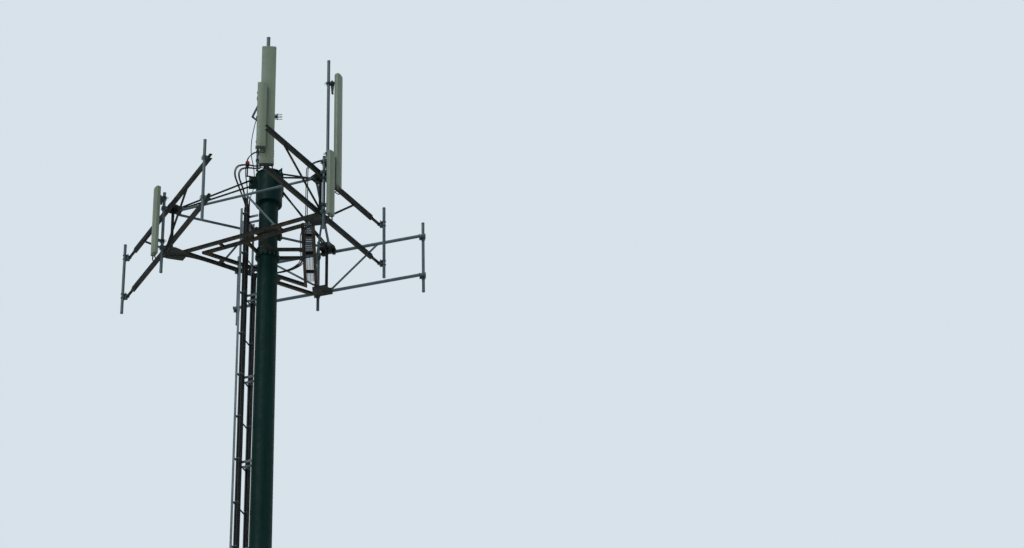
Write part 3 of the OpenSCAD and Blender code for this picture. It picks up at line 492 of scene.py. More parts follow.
clad(zinc, "ladder_rails", "ladder_rungs")
NECK = 0.1875
LADDER_TOP = SHAFT_TOP + 1.060
RUNG_HEIGHTS = [1.5 + 0.914 * k for k in range(40) if 1.5 + 0.914 * k <= LADDER_TOP - 0.06]
RUNG_FACE = 0.016
ladder_bolts = bmesh.new()
for k, height in enumerate(RUNG_HEIGHTS):
    face = ladder_radius(height) + RUNG_FACE
    for s in (-1, 1):
        nut(ladder_bolts, ladder_place(face, s * 0.262, height), 0.012, 0.0)
        tab = ladder_place(face - 0.008, s * 0.285, height) @ moved(-s * 0.022, 0, -0.004)
        bar(ladder_bolts, tab, (0.050, 0.036, 0.004), 0.001)
        if k % 2 == 0:
            nut(ladder_bolts, ladder_place(face, s * 0.090, height), 0.012, 0.5)
for height, s, lift in product(FLANGES, (-1, 1), (-0.066, -0.028, 0.028, 0.066)):
    spot = on_ladder(ladder_radius(height) + 0.022, s * 0.3055, height + lift)
    nut(ladder_bolts, turned_to(spot, on_ladder(0, s, 0)), 0.012, 0.4)
made(ladder_bolts, "ladder_bolts", zinc)
lug_welds = bmesh.new()
for height in RUNG_HEIGHTS[::2]:
    radius = shaft_radius(height) if height < SHAFT_TOP else NECK
    for s, face in product((-1, 1), (-0.006, 0.006)):
        aside = s * 0.090 + face
        reach = math.sqrt(radius ** 2 - aside ** 2) + 0.001
        weld(lug_welds, [on_ladder(reach, aside, height + lift) for lift in (-0.025, 0.025)], 0.0035, 5)
made(lug_welds, "ladder_lug_welds", bottle_green)

# Coax feeders: black jacketed cables in two rows on the pole side of the ladder. Steel
# hangers snap round each pair at every rung. Glands seal them where they enter the hood.
jacket = Surface("black_cable_jacket", 0.42, shine=0.16)
jacket.ground((0.35, 0.7, 5.0, 6.0, 0.6), (0.0030, 0.0042, 0.0043), (0.0085, 0.0108, 0.0108))
jacket.coat((0.54, 0.76, 60.0, 5.0, 0.7), (0.026, 0.031, 0.030), 0.35)
jacket.coat(jacket.facing_up(0.2, 1.0), (0.040, 0.044, 0.041), 0.35)
black_jacket = jacket.finished(jacket.cloud(25.0, 4.0), 0.36, 0.62, (0.0002, 300.0, 2.0))
tape = Surface("worn_rubber", 0.75, shine=0.25)
tape.ground((0.4, 0.7, 90.0, 5.0, 0.6), (0.007, 0.007, 0.007), (0.022, 0.022, 0.021))
tape.coat(tape.edges(0.002), (0.045, 0.044, 0.041), 0.4)
rubber = tape.finished(tape.cloud(40.0), 0.6, 0.85, (0.0004, 180.0, 3.0))
COAX, PITCH, COAX_FOOT = 0.017, 0.038, 1.150
LEFT_BUNDLE, RIGHT_BUNDLE = (0.200, 4, LADDER_TOP), (-0.225, 3, SHAFT_TOP - 0.250)


def coax_place(bundle_side, columns, column, row, height):
    out = ladder_radius(height) - 0.010 - COAX - row * PITCH
    return on_ladder(out, bundle_side + (column - (columns - 1) / 2) * PITCH, height)


def feeders(name, bundle_side, columns, top, seed):
    """the cables of one bundle, each with its own slight wander between the hangers"""
    rng = random.Random(seed)
    stops = [COAX_FOOT] + [h for h in RUNG_HEIGHTS if h < top - 0.05] + [top]
    spots = list(product(range(columns), range(2)))
    cables = bmesh.new()
    for column, row in spots:
        path = []
        for low, high in zip(stops, stops[1:]):
            sway = (rng.uniform(-0.0016, 0.0016), rng.uniform(-0.0016, 0.0016))
            for step in range(4):
                swell = math.sin(math.pi * step / 4)
                path.append(coax_place(bundle_side, columns, column, row, low + (high - low) * step / 4)
                            + on_ladder(sway[0] * swell, sway[1] * swell, 0))
        path.append(coax_place(bundle_side, columns, column, row, top))
        tube(cables, path, COAX, 14)
    piece = made(cables, name + "_cables", black_jacket)
    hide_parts(name)
    band = [(0.0005, 0), (0.0022, 0), (0.0022, 0.004), (0.0012, 0.005),
            (0.0012, 0.015), (0.0022, 0.016), (0.0022, 0.020), (0.0005, 0.020)]
    clips = bmesh.new()
    for height in [h for h in RUNG_HEIGHTS + FLANGES if h < top - 0.02]:
        out = ladder_radius(height)
        for column in range(columns):
            aside = bundle_side + (column - (columns - 1) / 2) * PITCH
            for row in range(2):
                centre = ladder_place(out - 0.010 - COAX - row * PITCH, aside, height)
                turned(clips, centre @ spun(-math.pi / 2, "X") @ moved(0, 0, -0.010),
                       [(COAX + thick, z) for thick, z in band], 14)
            bar(clips, ladder_place(out - 0.012, aside, height), (0.012, 0.018, 0.020), 0.001)
        bar(clips, ladder_place(out - 0.002, bundle_side, height - 0.024),
            (columns * PITCH + 0.012, 0.004, 0.010), 0.001)
    made(clips, name + "_hangers", zinc)
    glands = bmesh.new()
    for column, row in spots:
        foot = Matrix.Translation(coax_place(bundle_side, columns, column, row, COAX_FOOT))
        turned(glands, foot, [(0.0185, -0.002), (0.0188, 0.014), (0.0178, 0.018),
                              (0.0176, 0.046), (0.0171, 0.060)], 18)
    made(glands, name + "_glands", rubber)


feeders("coax_left", *LEFT_BUNDLE, 11)
feeders("coax_right", *RIGHT_BUNDLE, 12)

# Neck and drum: a plain tube and a wider drum that is welded on top of it, both painted
# with the pole. The lid is a thick plate held down by a ring of bolts, under the mast foot.
DRUM_LOW = SHAFT_TOP + 1.210
DRUM_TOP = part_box("head_drum")[1].z
clad(bottle_green, "neck", "head_drum")
drum_work = bmesh.new()
weld(drum_work, circle(NECK + 0.002, SHAFT_TOP + 0.164, 60), 0.004, 5, 0.02)
weld(drum_work, circle(NECK + 0.003, DRUM_LOW - 0.003, 60), 0.006, 5, 0.02)
weld(drum_work, circle(0.262, DRUM_TOP - 0.021, 72), 0.005, 5, 0.02)
weld(drum_work, [around(0.2605, 1.9, DRUM_LOW + 0.005), around(0.2605, 1.9, DRUM_TOP - 0.022)],
     0.004, 5, 0.03)
made(drum_work, "drum_welds", bottle_green)
lid_bolts = bmesh.new()
for k in range(12):
    nut(lid_bolts, turned_to(around(0.245, math.tau * (k + 0.5) / 12, DRUM_TOP), UP), 0.014, 0.4)
made(lid_bolts, "drum_lid_bolts", zinc)


# Collar: two half shells drawn together round the neck by long bolts through their ears.
# Black painted, with the paint worn through to brown at the edges.
def weathered_black(name, rust, underside):
    coating = Surface(name, 0.6, shine=0.08)
    coating.ground((0.38, 0.64, 4.0, 6.0, 0.6), (0.0030, 0.0042, 0.0042), (0.0092, 0.0112, 0.0110))
    coating.coat((0.55, 0.75, 26.0, 6.0, 0.65), (0.030, 0.036, 0.036), 0.40)
    under = coating.times(coating.facing_up(-0.35, -0.9), coating.spots(0.30, 0.60, 3.0, 5.0))
    coating.coat(under, underside, 0.80)
    coating.coat((0.70 - rust, 0.80 - rust, 13.0, 8.0, 0.7), (0.066, 0.034, 0.016))
    coating.coat(coating.worn(0.006, 0.34, 0.54, 45.0, 6.0, 0.65), (0.074, 0.070, 0.058), 0.70)
    coating.coat((0.64, 0.70, 75.0, 6.0, 0.7), (0.052, 0.024, 0.011), 0.7)
    coating.coat(coating.facing_up(0.5, 1.0), (0.050, 0.052, 0.048), 0.35)
    return coating.finished(coating.cloud(18.0, 5.0), 0.48, 0.82, (0.0008, 95.0, 5.0, 0.65))


black_steel = weathered_black("weathered_black_steel", 0.0, (0.034, 0.037, 0.027))
rusty_steel = weathered_black("rust_spotted_steel", 0.120, (0.050, 0.038, 0.020))
clad(black_steel, "neck_collar")
COLLAR_TURN = math.radians(24)
collar_bolts = bmesh.new()
for end, lift, s in product((0, math.pi), (0.045, 0.105), (-1, 1)):
    along = around(1, COLLAR_TURN + end)
    through = Vector((-along.y, along.x, 0)) * s
    spot = along * 0.248 + through * 0.040 + UP * (SHAFT_TOP + 0.460 + lift)
    nut(collar_bolts, turned_to(spot, through), 0.016, 1.2 if s > 0 else 0.0)
made(collar_bolts, "neck_collar_bolts", zinc)

# Platform arms and walkway ring: a clamp ring on the neck carries six box beams out to a
# closed triangle of square tube, where people stand. Beams and tube are cleated and welded.
SIDES = [(math.radians(240.7), 0.810), (math.radians(357.0), 0.940), (math.radians(118.7), 0.830)]
RING_WIDE, RING_BAR = 0.265, 0.060
RING_LOW, RING_TOP = SHAFT_TOP + 0.043, SHAFT_TOP + 0.103
ARMS = [(0, -0.150), (0, 0.150), (1, -0.150), (1, 0.150), (2, -0.075), (2, -0.1725)]


def on_side(side, out, along, height):
    """a point from its distance outward and its place along one side of the triangle"""
    return spun(SIDES[side][0]) @ Vector((out, along, height))


def side_place(side, out, along, height):
    return spun(SIDES[side][0]) @ moved(out, along, height)


clad(black_steel, "platform_arms")
clad(rusty_steel, "walkway_ring")
cleats = bmesh.new()
for side, along in ARMS:
    inner = SIDES[side][1] - RING_WIDE
    bar(cleats, side_place(side, inner, along, RING_LOW - 0.008), (0.110, 0.080, 0.008))
    for step in (-0.035, 0.030) if side != 1 else (-0.035,):
        nut(cleats, turned_to(on_side(side, inner + step, along, RING_TOP), UP), 0.012, 0.5)
made(cleats, "arm_cleats", black_steel)
ring_clamp = bmesh.new()
for k, lift in product(range(8), (0.035, 0.125)):
    angle = math.tau * k / 8 + 0.2
    nut(ring_clamp, turned_to(around(0.2175, angle, SHAFT_TOP + lift), around(1, angle)), 0.012, 0.4)
made(ring_clamp, "clamp_ring_screws", zinc)
ring_welds = bmesh.new()
for side, (bearing, reach) in enumerate(SIDES):
    inner = reach - RING_WIDE + RING_BAR
    for along, s in product((-0.640, 0.0, 0.640), (-1, 1)):
        for out in (inner, reach - RING_BAR):
            weld(ring_welds, [on_side(side, out, along + s * 0.021, height)
                              for height in (RING_LOW + 0.004, RING_TOP - 0.004)], 0.004, 5)
        weld(ring_welds, [on_side(side, out, along + s * 0.020, RING_TOP)
                          for out in (inner, inner + 0.010)], 0.004, 5)
made(ring_welds, "walkway_ring_welds", rusty_steel)

# Grating: welded open-bar mesh over one half of the side farthest from the pole and a wire
# mesh over the other half. Hot-dip galvanised, held down on the ring by saddle clips.
clad(zinc, "walkway_grating")
OUTER = SIDES[1][1]
INNER, MIDDLE = OUTER - RING_WIDE, OUTER - RING_WIDE / 2


def saddle_clips(steel, stations, lift, wide):
    for along, out in product(stations, (INNER + 0.030, OUTER - 0.030)):
        place = side_place(1, out, along, RING_TOP + lift)
        bar(steel, place, (wide, 0.030, 0.003), 0.001)
        nut(steel, place @ moved(0, 0, 0.003), 0.008, 0.3)


clips = bmesh.new()
saddle_clips(clips, (-0.93, -0.55, -0.17), 0.0255, 0.052)
made(clips, "grating_clips", zinc)
GRATE_START, GRATE_LONG, GRATE_WIDE = -1.000, 1.050, RING_WIDE - 0.020
bearers = bmesh.new()
for k in range(42):
    if k % 3:
        along = GRATE_START + 0.003 + k * (GRATE_LONG - 0.006) / 42
        bar(bearers, side_place(1, MIDDLE, along, RING_TOP + 0.010),
            (GRATE_WIDE - 0.002, 0.0030, 0.0115), 0.0005)
for k in range(4):
    out = MIDDLE + (k - 1.5) * (GRATE_WIDE - 0.006) / 4
    tube(bearers, [on_side(1, out, GRATE_START + 0.004 + (GRATE_LONG - 0.008) * j / 120, RING_TOP + 0.0205)
                   + on_side(1, 0.0008 * math.cos(j * 1.3), 0, 0.0008 * math.sin(j * 1.3))
                   for j in range(121)], 0.0028, 4)
made(bearers, "grating_bars", zinc)
MESH_FROM, MESH_TO, MESH_WIRE = 0.070, 1.050, 0.0075
wires = bmesh.new()
for k in range(38):
    along = MESH_FROM + 0.005 + k * (MESH_TO - MESH_FROM - 0.010) / 37
    tube(wires, [on_side(1, INNER + 0.012 + (RING_WIDE - 0.024) * j / 8, along,
                         RING_TOP + MESH_WIRE / 2 - 0.0012 * math.sin(math.pi * j / 8)) for j in range(9)],
         MESH_WIRE / 2, 6)
for k in range(5):
    tube(wires, [on_side(1, MIDDLE + (k - 2) * 0.055, MESH_FROM + (MESH_TO - MESH_FROM) * j / 20,
                         RING_TOP + 1.45 * MESH_WIRE - 0.0009 * (j % 2)) for j in range(21)],
         MESH_WIRE / 2, 6)
saddle_clips(wires, (MESH_FROM + 0.030, 0.640, MESH_TO - 0.030), 0.0130, 0.040)
made(wires, "walkway_wire_mesh", zinc)

# Sector frames: two steel channels a yard apart with a V of round braces, about 4 m long.
# Two are painted black and stained with rust, the third is galvanised pipe.
SECTORS = {1: (1.069, -1.288, -35.43), 2: (-1.959, -0.047, 204.17), 3: (1.216, 1.335, 68.88)}
RAIL_LOW, RAIL_HIGH = 0.093, 1.007
CHANNEL_HIGH, CHANNEL_DEEP, FACE_WIDE, THIN_END, PLATE = 0.100, 0.060, 4.0, 0.370, 0.012
THIN_RAIL, ROUND_RAIL = 0.028, 0.0325
PLATE_HIGH = RAIL_HIGH + CHANNEL_HIGH / 2
PLATE_LOW = RAIL_LOW - CHANNEL_HIGH / 2 - PLATE


def sector(number):
    """the place of one frame: x along its rails, y outward, z up from the shaft flange"""
    x, y, bearing = SECTORS[number]
    return moved(x, y, SHAFT_TOP) @ spun(math.radians(bearing - 90))


def at(place, x, y, z, outward=UP):
    """a place in a frame's own coordinates whose z axis looks along outward"""
    return place @ turned_to((x, y, z), outward, (0, 0, 1) if abs(outward[2]) < 0.9 else (0, 1, 0))


def cap(steel, place, radius):
    turned(steel, place, [(radius + 0.0016, -0.026), (radius + 0.0020, -0.024), (radius + 0.0020, -0.001),
                          (radius - 0.003, 0.0025), (radius * 0.5, 0.0045), (0.002, 0.005)], 24)


def weld_round(steel, place, radius, turns, size):
    weld(steel, [place @ point for point in circle(radius, 0, turns)], size, 5)


clad(black_steel, "sector_1_frame", "sector_2_frame")
clad(zinc, "sector_3_frame")
frame_bolts, frame_welds, frame_caps = bmesh.new(), bmesh.new(), bmesh.new()
for number, thin_side, brace_ends in ((1, -1, (-1.04, 1.44)), (2, 1, (-0.96, 1.20))):
    place = sector(number)
    shoulder = thin_side * (FACE_WIDE / 2 - THIN_END)
    for rail in (RAIL_LOW, RAIL_HIGH):
        for back in (0.060, 0.180):
            spot = at(place, shoulder - thin_side * back, CHANNEL_DEEP / 2, rail, (0, 1, 0))
            nut(frame_bolts, spot, 0.016, 0.4)
        turned(frame_welds, at(place, shoulder, 0, rail, (thin_side, 0, 0)),
               [(0.0305, -0.004), (0.036, 0.0), (0.036, 0.018), (0.0290, 0.026)], 24)
        cap(frame_caps, at(place, thin_side * (FACE_WIDE / 2 - 0.005), 0, rail, (thin_side, 0, 0)), THIN_RAIL)
    for x in brace_ends:
        weld_round(frame_welds, place @ moved(x, 0, RAIL_HIGH - CHANNEL_HIGH / 2 + 0.004), 0.024, 20, 0.005)
    for level, outward in ((PLATE_LOW, DOWN), (PLATE_HIGH + PLATE, UP)):
        for x in (-0.055, -0.120, 0.055, 0.120):
            nut(frame_bolts, at(place, x, 0, level, outward), 0.016, 0.6)
place = sector(3)
for x in (-1.20, 1.04):
    lean = Vector((x / 40 - x, 0, RAIL_LOW - RAIL_HIGH)).normalized()
    for centre, level, along in ((x, RAIL_HIGH, lean), (x / 40, RAIL_LOW, -lean)):
        spot = Vector((centre, 0, level)) + along * 0.034
        weld_round(frame_welds, place @ turned_to(spot, along), 0.0215, 20, 0.004)
for rail, s in product((RAIL_LOW, RAIL_HIGH), (-1, 1)):
    cap(frame_caps, at(place, s * (FACE_WIDE / 2 - 0.005), 0, rail, (s, 0, 0)), ROUND_RAIL)
made(frame_bolts, "frame_bolts", zinc)
made(frame_welds, "frame_welds", rusty_steel)
made(frame_caps, "frame_end_caps", zinc)

# Joints: gusset plates over and under the rails with a post between them. They carry a
# corner of the ring below and the struts from the drum above, all on hexagon bolts.
joint_bolts, joint_welds = bmesh.new(), bmesh.new()
for number in SECTORS:
    clad(black_steel, f"sector_{number}_joint")
    place = sector(number)
    for level in (PLATE_LOW + PLATE, PLATE_HIGH):
        weld_round(joint_welds, place @ moved(0, -0.110, level), 0.031, 28, 0.005)
    along_rail = place.to_3x3() @ Vector((1, 0, 0))
    start = place @ Vector((0, -0.095, 0))
    for bearing, reach in SIDES:
        normal = around(1, bearing)
        lean = along_rail.dot(normal)
        if abs(lean) > 0.2:
            for offset in (RING_BAR / 2, RING_WIDE - RING_BAR / 2):
                shift = (reach - offset - start.dot(normal)) / lean
                if abs(shift) < 0.235:
                    nut(joint_bolts, at(place, shift, -0.095, RING_TOP - SHAFT_TOP), 0.016, 0.5)
                    nut(joint_bolts, at(place, shift, -0.095, PLATE_LOW, DOWN), 0.016, 0.0)
made(joint_bolts, "joint_bolts", zinc)
made(joint_welds, "joint_welds", black_steel)

# Upper ties: galvanised pipes from frame to frame with flattened, bolted ends, and a
# diagonal from the middle of each down to a foot on the ring.
clad(zinc, "ring_ties")
tie_bolts = bmesh.new()
for first, second, side in ((1, 2, 0), (3, 1, 1), (2, 3, 2)):
    ends = [sector(first) @ Vector((0.090, -0.250, 0)), sector(second) @ Vector((-0.090, -0.250, 0))]
    run = (ends[1] - ends[0]).normalized()
    aside = Vector((-run.y, run.x, 0))
    for end, inward in zip(ends, (run, -run)):
        for s in (-1, 1):
            spot = end + aside * s * 0.020 - inward * 0.028
            for face, outward, stud in ((PLATE_HIGH + PLATE, UP, 0.6), (PLATE_HIGH - PLATE, DOWN, 0.0)):
                nut(tie_bolts, turned_to((spot.x, spot.y, SHAFT_TOP + face), outward), 0.014, stud)
    for s in (-1, 1):
        foot = on_side(side, SIDES[side][1] - 0.030, 0.560 + s * 0.036, RING_TOP + 0.014)
        nut(tie_bolts, turned_to(foot, UP), 0.012, 0.5)
made(tie_bolts, "tie_bolts", zinc)

# Head struts: pairs of black pipes from lugs on the drum down to the upper gussets. Their
# ends are plates on one thick bolt at the lug and two bolts at the foot.
clad(black_steel, "head_struts")
strut_bolts = bmesh.new()
for number in SECTORS:
    joint = sector(number) @ Vector((0, -0.200, 0))
    out = Vector((joint.x, joint.y, 0)).normalized()
    aside = Vector((-out.y, out.x, 0))
    reach = math.hypot(joint.x, joint.y)
    for s in (-1, 1):
        lug = out * 0.365 + UP * (DRUM_TOP - 0.170 + s * 0.055)
        nut(strut_bolts, turned_to(lug + aside * (0.014 if s > 0 else 0.006), aside), 0.020, 0.7)
        nut(strut_bolts, turned_to(lug - aside * (0.006 if s > 0 else 0.014), -aside), 0.020, 0.0)
        for back in (0.030, 0.070):
            foot = out * (reach - back) + aside * s * 0.038 + UP * (SHAFT_TOP + PLATE_HIGH + PLATE + 0.014)
            nut(strut_bolts, turned_to(foot, UP), 0.012, 0.4)
made(strut_bolts, "strut_bolts", zinc)

# Antenna pipes: galvanised tube of 60 mm, three on each frame, clamped upright to its rails.
# A pressed cap closes each end.
PIPE, PIPE_OUT = 0.030, 0.090
PIPES = {1: [(-1.946, -0.250, 1.385), (0.176, -0.286, 1.374), (0.060, 0.887, 3.740)],
         2: [(-1.950, -0.420, 1.420), (1.950, -0.310, 1.304), (-0.015, -0.480, 1.370)],
         3: [(-1.950, -0.250, 1.365), (1.950, -0.255, 1.364), (-0.248, -0.250, 1.368)]}
pipe_caps = bmesh.new()
for number, pipes in PIPES.items():
    clad(zinc, f"sector_{number}_pipes")
    for x, low, high in pipes:
        cap(pipe_caps, at(sector(number), x, PIPE_OUT, high), PIPE)
        cap(pipe_caps, at(sector(number), x, PIPE_OUT, low, DOWN), PIPE)
made(pipe_caps, "pipe_caps", zinc)

# Pipe clamps: on a channel, a V block and a folded strap that four threaded rods pull round
# the pipe; on a round rail, a crossover plate with a pair of U bolts each way.
# A darker copy of the zinc at tone 0.45: painted shade for the brackets and clamps that sit in shadow.
shade_darkened_zinc = galvanised_zinc("painted_shade_dark_zinc", 0.45)


def u_bolt(steel, place, radius, legs, seat):
    """a 12 mm U bolt round the z axis with its legs along y and a nut on each, seated at seat"""
    bend = radius + 0.0065
    round_pipe = [around(bend, -math.pi * k / 12) for k in range(13)]
    path = [Vector((bend, legs, 0)), *round_pipe, Vector((-bend, legs, 0))]
    tube(steel, [place @ point for point in path], 0.006, 10)
    for s in (-1, 1):
        nut(steel, at(place, s * bend, seat, 0, (0, 1, 0)), 0.012, 0.0)


def tie_rod(steel, place, x, z, ends, thick, nuts):
    """a threaded rod along y from end to end, and its nuts, each with its y and its way"""
    tube(steel, [place @ Vector((x, y, z)) for y in ends], thick, 10)
    for y, way in nuts:
        nut(steel, at(place, x, y, z, (0, way, 0)), 2 * thick, 0.0)


def pipe_strap(radius, thick, reach):
    """plan outline of a strap folded into a V over a pipe, wings at both sides"""
    deep = radius * math.sqrt(2)
    wing, end, slant = deep - reach, radius + 0.022, 0.4 * thick
    return [(-end, wing), (-reach, wing), (0, deep), (reach, wing), (end, wing), (end, wing + thick),
            (reach + slant, wing + thick), (slant, deep + thick), (-slant, deep + thick),
            (-reach - slant, wing + thick), (-end, wing + thick)]


def channel_clamp(steel, place, x, level):
    middle = place @ moved(x, PIPE_OUT, level - 0.032)
    web = CHANNEL_DEEP / 2 - PIPE_OUT
    plate(steel, middle, [(-0.046, web), (0.046, web), (0.046, -0.0125), (0.0300, -0.0125), (0, -0.0424),
                          (-0.0300, -0.0125), (-0.046, -0.0125)], 0.064, 0.001)
    plate(steel, middle, pipe_strap(PIPE, 0.008, 0.030), 0.064, 0.001)
    for aside, lift in product((-0.044, 0.044), (-0.019, 0.019)):
        tie_rod(steel, place, x + aside, level + lift, (0.004, PIPE_OUT + 0.052), 0.006,
                ((PIPE_OUT + 0.0205, 1), (CHANNEL_DEEP / 2 - 0.006, -1)))


def crossover_clamp(steel, place, x, level, rail):
    low, high = rail + 0.002, PIPE_OUT - PIPE - 0.001
    seat = (low + high) / 2 - 0.005
    bar(steel, at(place, x, seat, level, (0, 1, 0)), (0.132, 0.132, 0.010), 0.001)
    for s in (-1, 1):
        bar(steel, at(place, x + s * 0.018, seat + 0.009, level, (0, 1, 0)),
            (0.008, 0.110, high - seat - 0.004), 0.001)
        bar(steel, at(place, x, seat + 0.001, level + s * 0.018, (0, -1, 0)),
            (0.110, 0.008, seat - low + 0.006), 0.001)
        about_pipe = place @ moved(x, PIPE_OUT, level + s * 0.045) @ spun(math.pi)
        u_bolt(steel, about_pipe, PIPE, PIPE_OUT - seat + 0.020, PIPE_OUT - seat)
        about_rail = place @ moved(x + s * 0.045, 0, level) @ spun(math.pi / 2, "Y")
        u_bolt(steel, about_rail, rail, seat + 0.032, seat + 0.010)


for number, on_round_rail, rail in ((1, (0,), THIN_RAIL), (2, (1,), THIN_RAIL), (3, (0, 1, 2), ROUND_RAIL)):
    clamps = bmesh.new()
    place = sector(number)
    for (k, (x, low, high)), level in product(enumerate(PIPES[number]), (RAIL_LOW, RAIL_HIGH)):
        if low < level and k in on_round_rail:
            crossover_clamp(clamps, place, x, level, rail)
        elif low < level:
            channel_clamp(clamps, place, x, level)
    if number == 1:
        link_level, link_back = RAIL_HIGH + 0.230, 0.044
        for x, lift in product((PIPES[1][1][0], PIPES[1][2][0]), (-0.018, 0.018)):
            about = place @ moved(x, PIPE_OUT, link_level + lift) @ spun(math.pi)
            u_bolt(clamps, about, PIPE, 0.070, link_back)
        link = at(place, 0.118, PIPE_OUT - link_back, link_level, (0, 1, 0))
        for s in (-1, 1):
            bar(clamps, link @ moved(0, s * 0.026, 0), (0.215, 0.012, 0.014), 0.001)
        bar(clamps, link, (0.215, 0.064, 0.008), 0.001)
    piece = made(clamps, f"sector_{number}_pipe_clamps", zinc)
    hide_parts(f"sector_{number}_clamps")

# Panel antennas: glass fibre shells over a metal back, khaki grey, with pressed end caps,
# screws at the seams and silver sockets below. The tall one on sector 1 has a round top.
fibre = Surface("khaki_glass_fibre", 0.42, shine=0.3)
fibre.ground((0.35, 0.65, 1.6, 4.0, 0.5, (1, 1, 0.4)), (0.098, 0.128, 0.092), (0.124, 0.160, 0.117))
fibre.coat((0.50, 0.72, 30.0, 5.0, 0.6, (1, 1, 0.03)), (0.064, 0.083, 0.060), 0.40)
fibre.coat((0.58, 0.75, 44.0, 4.0, 0.6, (1, 1, 0.05)), (0.172, 0.206, 0.162), 0.30)
fibre.coat(fibre.worn(0.004, 0.42, 0.60, 60.0, 5.0, 0.6), (0.195, 0.220, 0.172), 0.40)
fibre.coat((0.66, 0.72, 120.0, 6.0, 0.75), (0.050, 0.049, 0.033), 0.6)
fibre.coat((0.48, 0.72, 6.0, 6.0, 0.6), (0.082, 0.104, 0.058), 0.35)
fibre.coat(fibre.facing_up(-0.3, -0.9), (0.055, 0.058, 0.047), 0.5)
khaki = fibre.finished(fibre.cloud(12.0, 4.0), 0.34, 0.54, (0.004, 3.0, 2.0), (0.0003, 220.0, 2.0))


def shell_outline(wide, deep, corner=0.024, bow=0.010):
    """plan of a shell: flat back at -y, rounded corners and a gently bowed front at +y"""
    flat, back, front = wide / 2 - corner, corner - deep / 2, deep / 2 - bow - corner

    def rounded(x, y, quarter, steps):
        return [(x + corner * math.cos(math.pi / 2 * (quarter + k / 6)),
                 y + corner * math.sin(math.pi / 2 * (quarter + k / 6))) for k in steps]

    bowed = [flat - flat * k / 6 for k in range(1, 12)]
    return ([(flat * k / 4 - flat, -deep / 2) for k in range(9)]
            + rounded(flat, back, -1, range(1, 7)) + rounded(flat, front, 0, range(7))
            + [(x, deep / 2 - bow * (x / flat) ** 2) for x in bowed]
            + rounded(-flat, front, 1, range(7)) + rounded(-flat, back, 2, range(6)))


def panel_shell(shell, place, wide, deep, tall, domed):
    seam = [(0.0, 0.0), (0.0022, 0.0006), (0.0022, 0.0034), (0.0, 0.0040)]
    rings = [(0.016, 0.0), (0.005, 0.0015), (0.0012, 0.005), (0.0, 0.012)]
    for level in (0.052, tall - (0.120 if domed else 0.056)):
        rings += [(inset, level + z) for inset, z in seam]
    if not domed:
        rings += [(0.0, tall - 0.010), (0.0015, tall - 0.004), (0.006, tall - 0.001), (0.016, tall)]
    sizes = [(1 - 2 * inset / wide, 1 - 2 * inset / deep, z) for inset, z in rings]
    if domed:
        for k in range(9):
            rise = math.pi / 2 * k / 9
            narrower = math.cos(rise) ** 0.8
            sizes.append((narrower, narrower, tall - 0.075 + 0.075 * math.sin(rise)))
        sizes.append((0.06, 0.06, tall))
    outline = shell_outline(wide, deep)
    skinned(shell, [[place @ Vector((x * wider, y * deeper, z)) for x, y in outline]
                    for wider, deeper, z in sizes])


SOCKET = [(0.0105, -0.0340), (0.0120, -0.0332), (0.0120, -0.0190), (0.0100, -0.0180), (0.0100, -0.0130),
          (0.0140, -0.0120), (0.0140, -0.0045), (0.0175, -0.0040), (0.0175, 0.0010)]
PANELS = {
    "sector_1_short_panel": (sector(1) @ moved(0.176, 0.250, -0.040), 0.185, 0.100, 1.460, 2, 0.110),
    "sector_1_tall_panel": (sector(1) @ moved(-0.060, 0.250, 0.740), 0.185, 0.100, 2.690, 2, 0.110),
    "sector_2_panel": (sector(2) @ moved(-0.015, 0.250, -0.110), 0.185, 0.100, 1.550, 2, 0.110),
    "mast_tall_panel": (moved(-0.069, -0.150, SHAFT_TOP + 2.070) @ spun(math.pi),
                        0.290, 0.120, 2.888, 4, 0.080),
    "mast_short_panel": (moved(-0.185, -0.285, SHAFT_TOP + 2.400) @ spun(math.pi),
                         0.190, 0.090, 1.570, 2, 0.140)}
for name, (place, wide, deep, tall, sockets, apart) in PANELS.items():
    domed = name == "sector_1_tall_panel"
    shell = bmesh.new()
    panel_shell(shell, place, wide, deep, tall, domed)
    piece = made(shell, name + "_shell", khaki, 50)
    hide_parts(name)
    metal = bmesh.new()
    for k in range(sockets):
        turned(metal, place @ moved((k - (sockets - 1) / 2) * apart, 0, 0), SOCKET, 20)
    bar(metal, place @ moved(0, -deep / 2 - 0.0015, 0.09), (wide * 0.5, 0.005, tall - 0.30), 0.001)
    seams = (0.028, tall - 0.090 if domed else tall - 0.028)
    for level, s, y in product(seams, (-1, 1), (-0.012, 0.012)):
        turned(metal, at(place, s * (wide / 2 - 0.0005), y, level, (s, 0, 0)),
               [(0.0042, 0), (0.0042, 0.0012), (0.0030, 0.0022)], 12)
    made(metal, name + "_sockets", zinc)


